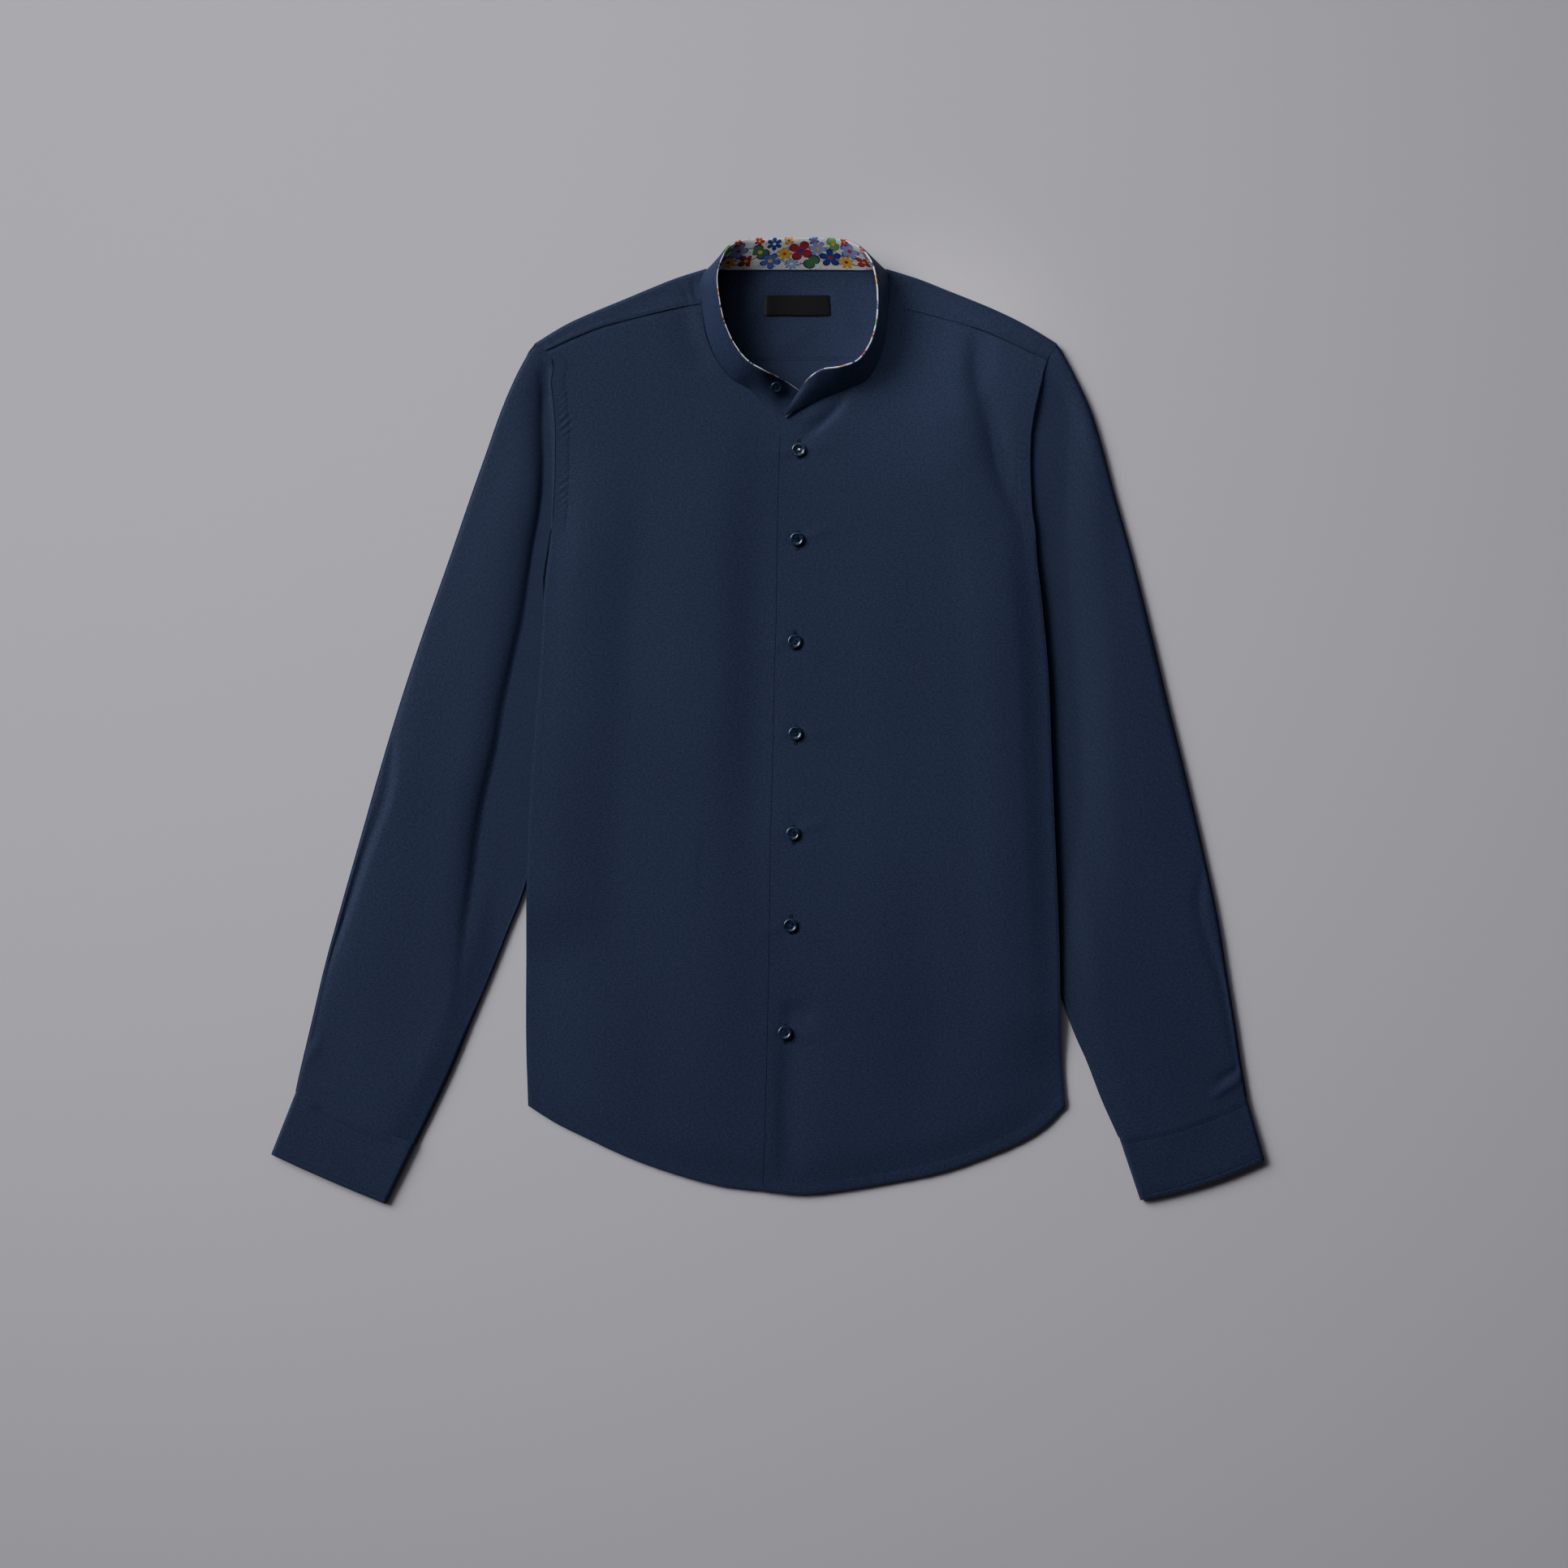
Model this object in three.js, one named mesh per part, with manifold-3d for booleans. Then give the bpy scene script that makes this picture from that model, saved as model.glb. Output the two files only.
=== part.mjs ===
// A band-collar shirt laid flat on its back with the front up, in millimetres.
// +X is the wearer's left, +Y points to the collar, +Z points up from the surface that it lies on.
// The origin is on the underside of the back panel, on the shirt's middle line.
import * as THREE from 'three';
import { mergeVertices } from 'three/addons/utils/BufferGeometryUtils.js';
import Module from 'manifold-3d';

const wasm = await Module();
wasm.setup();

const { lerp, smoothstep } = THREE.MathUtils;

// Driving dimensions
const CLOTH = 1.4;            // wall of the body and sleeves, two plies with their seam allowances
const CUFF_CLOTH = 2.0;       // wall of an interlined cuff
const SEAM_GAP = 0.3;         // between two pieces that are sewn together
const LAYER_GAP = 0.5;        // between two panels that lie on each other
const SHOULDER_RADIUS = 3.1;  // outer radius of the shoulder fold
const BODY_AIR = 2.6;         // soft air between back and fronts in the middle of the body
const SHOULDER_AIR = 3.4;     // the same at the shoulders, where the yoke folds over
const SLEEVE_LIFT = 4.8;      // how far a tucked sleeve lifts the body's side edge
const LIFT_FLAT = 12;         // width of the side edge that is lifted fully
const LIFT_RAMP = 78;         // distance from the side edge where the lift has run out
const LIFT_START = 44;        // length over which the lift grows below the underarm
const LIFT_END = 60;          // length over which it fades where the sleeve comes out
const HEM_SOFTENING = 34;     // distance from the hem where the upper layer has its full height
const OVERLAP_LIFT = 2.0;     // how much the left front rises where it lies on the right front
const OVERLAP_RAMP = [6, 28]; // distances past the right front's edge between which it comes down
const BACK_YOKE_SEAM = 301;   // y of the seam between back and yoke
const BACK_NECK = 374.0;      // y of the yoke's edge at the back of the neck

const NAVY = 0x18263f;
const NAVY_BUTTON = 0x141a2b;
const PRINT = 0xd9d8e0;
const LABEL_BLACK = 0x101114;

// Side seams: x of the body's edge at a height y, for the wearer's left and right
const SIDE_SEAM = [
  { y: -305, left: 218.0, right: -218.5 },
  { y: -260, left: 214.8, right: -220.0 },
  { y: -180, left: 213.0, right: -220.0 },
  { y: -100, left: 210.0, right: -219.0 },
  { y: -20, left: 206.6, right: -214.8 },
  { y: 50, left: 203.7, right: -209.0 },
  { y: 92, left: 200.0, right: -206.6 },
  { y: 114, left: 197.6, right: -205.2 },
  { y: 136, left: 195.0, right: -202.7 },
  { y: 158.4, left: 193.4, right: -199.8 },
];

// Armhole seams, from the underarm to the tip of the shoulder
const ARMHOLE = {
  left: [[193.4, 158.4], [190.5, 178], [189.4, 198], [188.8, 219.8], [190, 246], [193, 263],
    [197, 280], [203.3, 301.6], [211.5, 314]],
  right: [[-198.4, 167], [-197.3, 186], [-196.3, 205], [-196, 224], [-196, 247], [-197.2, 262],
    [-199.2, 280], [-205, 308.7], [-213.8, 314]],
};

// Hem, from the wearer's right to the left
const HEM = [
  { x: -218.5, y: -305 }, { x: -199, y: -317.5 }, { x: -170, y: -332 }, { x: -140, y: -346 },
  { x: -100, y: -360.5 }, { x: -61, y: -370.5 }, { x: -30, y: -374 }, { x: 5, y: -377 },
  { x: 38, y: -373.5 }, { x: 78, y: -367 }, { x: 117, y: -359 }, { x: 157, y: -345 },
  { x: 180, y: -335 }, { x: 199, y: -323.5 }, { x: 218, y: -305 },
];

// Band collar, from the end under the wearer's left front round the back to the end on top.
// Each row gives the outer face of the band at its seam and at its top edge.
const COLLAR = [
  { seam: [-11.9, 242.8, 5.9], edge: [4.0, 274.6, 6.6] },
  { seam: [-18.5, 251.0, 5.9], edge: [-5.9, 281.0, 9.6] },
  { seam: [-25.7, 262.0, 5.5], edge: [-15.2, 285.1, 19.0] },
  { seam: [-37.0, 275.2, 4.8], edge: [-27.7, 289.7, 29.5] },
  { seam: [-52.1, 283.8, 4.7], edge: [-40.9, 297.7, 31.3] },
  { seam: [-64.7, 298.3, 4.7], edge: [-50.8, 310.2, 31.0] },
  { seam: [-73.9, 318.1, 4.7], edge: [-58.7, 326.7, 31.4] },
  { seam: [-78.3, 347.2, 4.7], edge: [-64.0, 350.0, 33.0] },
  { seam: [-79.9, 361.7, 4.4], edge: [-65.3, 366.5, 32.0] },
  { seam: [-75.0, 373.0, 2.4], edge: [-62.0, 380.0, 29.4] },
  { seam: [-67.3, 375.8, 1.1], edge: [-55.4, 391.4, 25.0] },
  { seam: [-54.0, 375.6, 0.3], edge: [-44.9, 396.7, 22.6] },
  { seam: [-27.7, 375.6, 0.3], edge: [-24.4, 398.0, 22.4] },
  { seam: [1.3, 375.6, 0.3], edge: [2.0, 398.6, 22.2] },
  { seam: [30.4, 375.6, 0.3], edge: [28.4, 398.0, 22.4] },
  { seam: [52.8, 375.6, 0.3], edge: [43.6, 395.3, 23.2] },
  { seam: [66.7, 375.8, 1.1], edge: [52.8, 389.4, 26.4] },
  { seam: [73.4, 373.0, 2.4], edge: [60.7, 378.2, 30.5] },
  { seam: [75.2, 363.0, 4.4], edge: [64.7, 363.0, 34.0] },
  { seam: [74.3, 345.0, 4.7], edge: [66.0, 345.0, 34.6] },
  { seam: [72.6, 320.1, 4.8], edge: [64.0, 324.7, 34.8] },
  { seam: [67.3, 300.3, 5.0], edge: [58.7, 309.5, 34.0] },
  { seam: [56.8, 283.8, 5.4], edge: [49.5, 297.7, 32.6] },
  { seam: [38.3, 275.9, 6.2], edge: [35.6, 292.4, 31.0] },
  { seam: [18.5, 268.0, 7.4], edge: [19.8, 290.4, 26.6] },
  { seam: [2.0, 260.7, 9.0], edge: [8.6, 283.8, 19.4] },
  { seam: [-10.6, 254.1, 10.0], edge: [2.0, 276.5, 12.2] },
];

// Necklines of the fronts, just outside the band's seam
const NECK_RIGHT = offsetLine(COLLAR.slice(0, 8).map((station) => station.seam), -SEAM_GAP);
const NECK_LEFT = offsetLine(COLLAR.slice(19).map((station) => station.seam), -SEAM_GAP);

// Front panels, a row for each line across, from the hem to the yoke seam.
// Each row runs from the panel's inner edge (placket, then neckline) to its side seam or armhole.
const FRONT_LEFT_ROWS = [
  { inner: [-28.0, -374], outer: [218.0, -305] },
  { inner: [-26.5, -330], outer: [216.2, -280] },
  { inner: [-25.0, -277], outer: [214.4, -241] },
  { inner: [-24.0, -230], outer: [213.6, -206] },
  { inner: [-23.0, -185], outer: [212.7, -171] },
  { inner: [-22.5, -145], outer: [211.3, -135] },
  { inner: [-22.0, -105], outer: [210.0, -100] },
  { inner: [-21.0, -64], outer: [208.3, -60] },
  { inner: [-20.0, -25], outer: [206.7, -23] },
  { inner: [-19.2, 11], outer: [205.1, 14] },
  { inner: [-18.5, 46], outer: [203.7, 50] },
  { inner: [-17.2, 88], outer: [200.0, 92] },
  { inner: [-16.8, 114], outer: [197.6, 114] },
  { inner: [-16.5, 140], outer: [195.0, 136] },
  { inner: [-16.0, 168], outer: [193.4, 158.4] },
  { inner: [-15.5, 198], outer: [190.5, 178] },
  { inner: [-14.5, 224], outer: [189.4, 198] },
  { inner: [-13.5, 244.9], outer: [188.8, 219.8] },
  { inner: NECK_LEFT[7], outer: [189.5, 235] },
  { inner: NECK_LEFT[6], outer: [190, 246] },
  { inner: NECK_LEFT[5], outer: [193, 263] },
  { inner: NECK_LEFT[4], outer: [195, 271.5] },
  { inner: NECK_LEFT[3], outer: [197, 280] },
  { inner: NECK_LEFT[2], outer: [199.1, 287.2] },
  { inner: NECK_LEFT[1], outer: [201.2, 294.4] },
  { inner: NECK_LEFT[0], outer: [203.3, 301.6] },
];
const FRONT_RIGHT_ROWS = [
  { inner: [6.5, -377], outer: [-218.5, -305] },
  { inner: [8.5, -330], outer: [-219.3, -280] },
  { inner: [10.0, -277], outer: [-220.0, -241] },
  { inner: [11.0, -230], outer: [-220.0, -206] },
  { inner: [12.0, -185], outer: [-219.9, -171] },
  { inner: [12.5, -145], outer: [-219.4, -135] },
  { inner: [13.0, -105], outer: [-219.0, -100] },
  { inner: [13.8, -64], outer: [-216.9, -60] },
  { inner: [14.5, -25], outer: [-215.0, -23] },
  { inner: [15.2, 11], outer: [-212.0, 14] },
  { inner: [16.0, 46], outer: [-209.0, 50] },
  { inner: [17.0, 88], outer: [-206.6, 92] },
  { inner: [17.6, 114], outer: [-205.2, 114] },
  { inner: [18.0, 137], outer: [-202.7, 136] },
  { inner: [18.3, 161], outer: [-199.8, 158.4] },
  { inner: [18.5, 178], outer: [-198.4, 167] },
  { inner: [18.5, 204], outer: [-197.3, 186] },
  { inner: [17.5, 224], outer: [-196.3, 205] },
  { inner: [8.0, 238], outer: [-196, 224] },
  { inner: NECK_RIGHT[0], outer: [-196, 235.5] },
  { inner: NECK_RIGHT[1], outer: [-196, 247] },
  { inner: NECK_RIGHT[2], outer: [-197.2, 262] },
  { inner: NECK_RIGHT[3], outer: [-199.2, 280] },
  { inner: NECK_RIGHT[4], outer: [-200.7, 287.2] },
  { inner: NECK_RIGHT[5], outer: [-202.2, 294.4] },
  { inner: NECK_RIGHT[6], outer: [-203.6, 301.5] },
  { inner: NECK_RIGHT[7], outer: [-205, 308.7] },
];

// Yoke over each shoulder, from the neck to the armhole: front seam, shoulder fold and back seam
const YOKE_STATIONS = {
  left: [
    { seam: [74.6, 345.0], fold: [74.8, 374.4], backX: 75, frontBend: [75.6, 363.0] },
    { seam: [92.0, 342.0], fold: [98.0, 367.0], backX: 96 },
    { seam: [113.5, 336.6], fold: [122.0, 357.6], backX: 120 },
    { seam: [134.0, 331.0], fold: [143.0, 349.2], backX: 141 },
    { seam: [152.8, 325.0], fold: [162.0, 341.2], backX: 160 },
    { seam: [178.2, 313.5], fold: [188.0, 328.3], backX: 182 },
    { seam: [203.3, 301.6], fold: [211.5, 314.0], backX: 202.9 },
  ],
  right: [
    { seam: [-78.6, 347.2], fold: [-76.4, 374.4], backX: -77, frontBend: [-80.4, 362.0] },
    { seam: [-97.7, 343.9], fold: [-99.0, 367.2], backX: -98 },
    { seam: [-118.0, 339.2], fold: [-122.0, 358.0], backX: -120 },
    { seam: [-138.0, 334.2], fold: [-143.0, 349.2], backX: -141 },
    { seam: [-158.4, 328.7], fold: [-163.0, 341.0], backX: -160 },
    { seam: [-182.2, 319.4], fold: [-188.0, 329.6], backX: -182 },
    { seam: [-205.0, 308.7], fold: [-213.8, 314.0], backX: -203.4, backBend: [-205.0, 308.7] },
  ],
};

// Sleeves, a row for each ring from the armhole to the cuff seam.
// margin is how far from its inner edge the sleeve stays flat, beside and under the body.
const SLEEVE_LEFT_ROWS = [
  { inner: [193.9, 158.4], outer: [211.5, 314], margin: 2 },
  { inner: [195.6, 136], outer: [224, 291], margin: 8 },
  { inner: [198.3, 114], outer: [238, 261], margin: 14 },
  { inner: [197.0, 94], outer: [248, 229], margin: 18 },
  { inner: [194.5, 66], outer: [256, 198], margin: 22 },
  { inner: [195.3, 13], outer: [272.5, 138.5], margin: 22 },
  { inner: [198.0, -39.5], outer: [287.5, 79], margin: 22 },
  { inner: [200.8, -92.5], outer: [301.5, 20], margin: 22 },
  { inner: [203.6, -142], outer: [317, -43], margin: 21 },
  { inner: [206.5, -174], outer: [330, -99], margin: 18 },
  { inner: [211.2, -203], outer: [342, -155], margin: 13 },
  { inner: [217.5, -223], outer: [349, -198], margin: 8 },
  { inner: [224.5, -243], outer: [355.5, -237.5], margin: 4 },
  { inner: [235.5, -268], outer: [360.5, -270.5], margin: 3 },
  { inner: [247.5, -299], outer: [363.5, -288], margin: 2 },
  { inner: [261.7, -330.7], outer: [365.2, -297.7], margin: 2 },
];
const SLEEVE_RIGHT_ROWS = [
  { inner: [-198.9, 167], outer: [-213.8, 314], margin: 2 },
  { inner: [-202.5, 145], outer: [-227, 290], margin: 8 },
  { inner: [-205.7, 123], outer: [-241, 257.5], margin: 14 },
  { inner: [-205.2, 103], outer: [-251, 229], margin: 18 },
  { inner: [-201.0, 72], outer: [-262, 198], margin: 21 },
  { inner: [-202.8, 20], outer: [-282.5, 138.5], margin: 22 },
  { inner: [-206.4, -33], outer: [-303.5, 79], margin: 22 },
  { inner: [-210.8, -76], outer: [-323, 20], margin: 19 },
  { inner: [-216.2, -108], outer: [-340, -36.5], margin: 13 },
  { inner: [-223.5, -134], outer: [-354, -86], margin: 7 },
  { inner: [-234, -160], outer: [-369, -138.5], margin: 4 },
  { inner: [-249, -198], outer: [-383.5, -191.5], margin: 3 },
  { inner: [-265.5, -237.5], outer: [-394, -236.5], margin: 3 },
  { inner: [-281, -275], outer: [-401, -266], margin: 2 },
  { inner: [-297, -309], outer: [-405, -283], margin: 2 },
  { inner: [-310.5, -336.6], outer: [-407.2, -293.7], margin: 2 },
];

// Cuffs: corners at the sleeve seam and at the hand, and how far each edge bows to the hand
const CUFFS = {
  left: {
    seam: [[261.7, -330.7], [365.2, -297.7]],
    hand: [[278.8, -381.7], [379.8, -348.9]],
    bow: [4.5, 3.6],
  },
  right: {
    seam: [[-310.5, -336.6], [-407.2, -293.7]],
    hand: [[-334, -384.8], [-427.3, -344.3]],
    bow: [3.0, 0.8],
  },
};

// Where a sleeve is tucked under the body's side, from the underarm down
const TUCK = { left: { start: 158.4, end: -222 }, right: { start: 167, end: -134 } };

// Largest folds: a soft ridge (height above 0) or trough (below 0) along a line
const BODY_FOLDS = [
  { from: [148, 318], to: [172, 178], width: 15, height: -0.9 },
  { from: [120, 300], to: [150, 190], width: 18, height: 0.8 },
  { from: [-60, 230], to: [-72, -190], width: 30, height: -0.8 },
  { from: [-150, 290], to: [-140, -60], width: 36, height: 0.9 },
  { from: [-66, 330], to: [-44, 262], width: 7, height: 0.7 },
  { from: [44, 262], to: [60, 272], width: 8, height: 0.7 },
  { from: [90, 60], to: [150, -220], width: 34, height: 0.7 },
];
const SLEEVE_FOLDS = [
  { from: [-206, 290], to: [-226, 130], width: 11, height: -1.0 },
  { from: [-226, 130], to: [-272, -190], width: 14, height: -0.9 },
  { from: [-338, -66], to: [-384, -203], width: 10, height: 0.9 },
  { from: [222, 300], to: [212, 170], width: 12, height: -1.1 },
  { from: [329, -120], to: [354, -252], width: 9, height: 0.9 },
  { from: [262, 150], to: [300, -90], width: 24, height: 0.5 },
];

// Buttons, x and y of each front button from the top
const BUTTON_PLACES = [
  [1.3, 227.7], [0.0, 155.1], [-2.0, 71.9], [-1.3, -2.6], [-3.3, -83.8], [-5.3, -158.4], [-9.9, -245.5],
];
const BUTTON_RADIUS = 5.7;
const COLLAR_BUTTON_RADIUS = 4.6;
const COLLAR_BUTTON_STATION = 1.9;  // place along the collar rows
const COLLAR_BUTTON_HEIGHT = 0.74;  // share of the band's height

// Label inside the yoke
const LABEL = { x: 0.6, y: 345.2, width: 54, depth: 17, thick: 1.0 };

// Small helpers

function interpolate(rows, key, at, value) {
  let upper = 1;
  while (upper < rows.length - 1 && rows[upper][key] < at) upper += 1;
  const below = rows[upper - 1];
  const above = rows[upper];
  const share = THREE.MathUtils.clamp((at - below[key]) / (above[key] - below[key]), 0, 1);
  return lerp(value(below), value(above), share);
}

function mix(a, b, share) {
  return [lerp(a[0], b[0], share), lerp(a[1], b[1], share)];
}

function toward(from, to, distance) {
  const length = Math.hypot(to[0] - from[0], to[1] - from[1]);
  return mix(from, to, distance / length);
}

// Heights of the layers

function hemHeight(x) {
  return interpolate(HEM, 'x', x, (row) => row.y);
}

function bodyEdge(side, y) {
  const armhole = ARMHOLE[side].map(([px, py]) => ({ y: py, x: px }));
  if (y >= armhole[0].y) return interpolate(armhole, 'y', y, (row) => row.x);
  return interpolate(SIDE_SEAM, 'y', y, (row) => row[side]);
}

function sideOf(x) {
  return x > 0 ? 'left' : 'right';
}

function distanceInside(x, y) {
  return Math.max(0, Math.abs(bodyEdge(sideOf(x), y)) - Math.abs(x));
}

// Height of the back's underside: flat on the surface, lifted at the sides where a sleeve is tucked under
function backUnderside(x, y) {
  const { start, end } = TUCK[sideOf(x)];
  const along = smoothstep(start - y, 0, LIFT_START) * (1 - smoothstep(end - y, 0, LIFT_END));
  return SLEEVE_LIFT * along * (1 - smoothstep(distanceInside(x, y), LIFT_FLAT, LIFT_RAMP));
}

function foldHeight(folds, x, y) {
  let total = 0;
  for (const { from, to, width, height } of folds) {
    const axis = [to[0] - from[0], to[1] - from[1]];
    const length = Math.hypot(axis[0], axis[1]);
    const along = ((x - from[0]) * axis[0] + (y - from[1]) * axis[1]) / length;
    const across = ((x - from[0]) * axis[1] - (y - from[1]) * axis[0]) / length;
    const ends = smoothstep(along, -width, width) * (1 - smoothstep(along, length - width, length + width));
    total += height * ends * Math.exp(-((across / width) ** 2));
  }
  return total;
}

// Height of the underside of the upper layer, before one front lies on the other
function upperUnderside(x, y) {
  const inside = distanceInside(x, y);
  const seamAir = LAYER_GAP + (SHOULDER_AIR - LAYER_GAP) * smoothstep(y, 158, 298);
  const middleAir = BODY_AIR + (SHOULDER_AIR - BODY_AIR) * smoothstep(y, 180, 298);
  const body = lerp(seamAir, middleAir, smoothstep(inside, 0, 60));
  const hem = smoothstep(y - hemHeight(x), 0, HEM_SOFTENING);
  const calm = smoothstep(inside, 4, 30) * hem * smoothstep(Math.abs(x), 30, 56);
  const air = lerp(LAYER_GAP, body, hem) + calm * foldHeight(BODY_FOLDS, x, y);
  return backUnderside(x, y) + CLOTH + air;
}

function placketEdge(y) {
  const rows = FRONT_RIGHT_ROWS.slice(0, 19).map(({ inner }) => ({ y: inner[1], x: inner[0] }));
  return interpolate(rows, 'y', y, (row) => row.x);
}

// Extra height of the left front where it lies on the right front
function overlapLift(x, y) {
  const [near, far] = OVERLAP_RAMP.map((distance) => placketEdge(y) + distance);
  return OVERLAP_LIFT * (1 - smoothstep(x, near, far));
}

function leftFrontUnderside(x, y) {
  return upperUnderside(x, y) + overlapLift(x, y);
}

// Closed shells

// A wall between an outer and an inner grid of points; 'around' closes each row on itself
function shell(outer, inner, { around = false, keep = () => true } = {}) {
  const rowCount = outer.length;
  const columnCount = outer[0].length;
  const cellColumns = around ? columnCount : columnCount - 1;
  const positions = [...outer.flat(), ...inner.flat()].flatMap((point) => point);
  const onOuter = (row, column) => row * columnCount + (column % columnCount);
  const onInner = (row, column) => rowCount * columnCount + onOuter(row, column);
  const index = [];
  const quad = (a, b, c, d) => index.push(a, b, c, a, c, d);
  const apart = (a, b) => new THREE.Vector3(...a).distanceTo(new THREE.Vector3(...b));
  const isCell = (row, column) => {
    const wrapped = around ? (column + cellColumns) % cellColumns : column;
    return row >= 0 && row < rowCount - 1 && wrapped >= 0 && wrapped < cellColumns && keep(row, wrapped);
  };
  for (let row = 0; row < rowCount - 1; row += 1) {
    for (let column = 0; column < cellColumns; column += 1) {
      if (!isCell(row, column)) continue;
      const corners = [[row, column], [row, column + 1], [row + 1, column + 1], [row + 1, column]];
      const beyond = [[row - 1, column], [row, column + 1], [row + 1, column], [row, column - 1]];
      const [p, q, s, t] = corners.map(([r, c]) => outer[r][c % columnCount]);
      const split = apart(p, s) <= apart(q, t) ? [0, 1, 2, 3] : [1, 2, 3, 0];
      quad(...split.map((number) => onOuter(...corners[number])));
      const [a, b, c, d] = split.map((number) => onInner(...corners[number]));
      quad(a, d, c, b);
      corners.forEach(([r, c], side) => {
        if (isCell(...beyond[side])) return;
        const [nextRow, nextColumn] = corners[(side + 1) % 4];
        quad(onOuter(nextRow, nextColumn), onOuter(r, c), onInner(r, c), onInner(nextRow, nextColumn));
      });
    }
  }
  return facingOut(positions, index);
}

// A solid through sections of one outline, closed with flat ends
function loft(sections, outline) {
  const corners = outline.length;
  const positions = sections.flat().flatMap((point) => point);
  const index = [];
  for (let section = 0; section < sections.length - 1; section += 1) {
    for (let corner = 0; corner < corners; corner += 1) {
      const next = (corner + 1) % corners;
      const a = section * corners + corner;
      const b = section * corners + next;
      index.push(a, b, b + corners, a, b + corners, a + corners);
    }
  }
  const last = (sections.length - 1) * corners;
  const faces = THREE.ShapeUtils.triangulateShape(outline.map(([n, h]) => new THREE.Vector2(n, h)), []);
  const forward = THREE.ShapeUtils.area(outline.map(([n, h]) => new THREE.Vector2(n, h))) > 0;
  for (const [a, b, c] of faces) {
    if (forward) index.push(a, c, b, last + a, last + b, last + c);
    else index.push(a, b, c, last + a, last + c, last + b);
  }
  return facingOut(positions, index);
}

function facingOut(positions, index) {
  const corner = (number) => new THREE.Vector3(...positions.slice(number * 3, number * 3 + 3));
  let volume = 0;
  for (let face = 0; face < index.length; face += 3) {
    const [a, b, c] = [corner(index[face]), corner(index[face + 1]), corner(index[face + 2])];
    volume += a.dot(b.clone().cross(c));
  }
  if (volume < 0) index.reverse();
  const geometry = new THREE.BufferGeometry();
  geometry.setAttribute('position', new THREE.Float32BufferAttribute(positions, 3));
  geometry.setIndex(index);
  return geometry;
}

function toManifold(geometry) {
  const bare = geometry.clone();
  bare.deleteAttribute('normal');
  bare.deleteAttribute('uv');
  const merged = mergeVertices(bare, 1e-4);
  return new wasm.Manifold(new wasm.Mesh({
    numProp: 3,
    vertProperties: new Float32Array(merged.getAttribute('position').array),
    triVerts: new Uint32Array(merged.getIndex().array),
  }));
}

function fromManifold(solid) {
  const mesh = solid.getMesh();
  const geometry = new THREE.BufferGeometry();
  geometry.setAttribute('position', new THREE.BufferAttribute(new Float32Array(mesh.vertProperties), 3));
  geometry.setIndex(new THREE.BufferAttribute(new Uint32Array(mesh.triVerts), 1));
  return geometry;
}

function piece(name, geometry, color, roughness, metalness = 0) {
  geometry.computeVertexNormals();
  const mesh = new THREE.Mesh(geometry, new THREE.MeshStandardMaterial({ color, roughness, metalness }));
  mesh.name = name;
  return mesh;
}

// Panels

// A panel from rows of plan points, its upper face CLOTH above its underside
function panel(planRows, underside) {
  const top = planRows.map((row) => row.map(([x, y]) => [x, y, underside(x, y) + CLOTH]));
  const bottom = planRows.map((row) => row.map(([x, y]) => [x, y, underside(x, y)]));
  return shell(top, bottom);
}

// Distances of a panel's columns from its inner edge and from its side edge
const INNER_COLUMNS = [0, 13, 26, 41, 62];
const MIDDLE_SHARES = [0.36, 0.48];  // shares of a front's width between them
const SIDE_COLUMNS = [78, 60, 44, 28, 12, 0];
const BACK_SHARES = [0.16, 0.34, 0.5, 0.66, 0.84];  // shares between the back's side columns
const BACK_LINES = [-280, -241, -206, -171, -135, -100, -60, -23, 14, 50, 92, 114, 136, 158.4, 167, 178,
  198, 219.8, 246, 263, 280, BACK_YOKE_SEAM - SEAM_GAP];

function frontPlan(rows, side) {
  const last = rows.length - 1;
  return rows.map(({ inner, outer }, number) => {
    const length = Math.hypot(outer[0] - inner[0], outer[1] - inner[1]);
    const shares = [
      ...INNER_COLUMNS.map((distance) => distance / length),
      ...MIDDLE_SHARES.filter((share) => share * length > INNER_COLUMNS.at(-1) + 8),
      ...SIDE_COLUMNS.map((distance) => 1 - distance / length),
    ];
    const up = (number / last) ** 8;
    return evenShares(shares).map((share) => {
      const [x, y] = mix(inner, outer, share);
      const hemShare = (1 - smoothstep(number, 0, 3)) * (hemHeight(x) - lineHeight(rows[0], x));
      const seamShare = up * (yokeSeamHeight(side, x) - lineHeight(rows.at(-1), x));
      return [x, y + hemShare + seamShare];
    });
  });
}

// Thirteen shares from 0 to 1; a short row near the shoulder gets them spread evenly
function evenShares(shares) {
  const count = INNER_COLUMNS.length + MIDDLE_SHARES.length + SIDE_COLUMNS.length;
  const rising = shares.every((share, number) => number === 0 || share > shares[number - 1] + 0.01);
  if (rising && shares.length === count) return shares;
  return Array.from({ length: count }, (_, number) => number / (count - 1));
}

function lineHeight({ inner, outer }, x) {
  return lerp(inner[1], outer[1], (x - inner[0]) / (outer[0] - inner[0]));
}

function yokeSeamHeight(side, x) {
  const seam = YOKE_STATIONS[side].map(({ seam: [px, py] }) => ({ across: Math.abs(px), y: py }));
  return interpolate(seam, 'across', Math.abs(x), (point) => point.y);
}

function makeFronts() {
  const left = frontPlan(FRONT_LEFT_ROWS, 'left');
  const right = frontPlan(FRONT_RIGHT_ROWS, 'right');
  return [
    piece('front_left', panel(left, leftFrontUnderside), NAVY, 0.8),
    piece('front_right', panel(right, upperUnderside), NAVY, 0.8),
  ];
}

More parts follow.
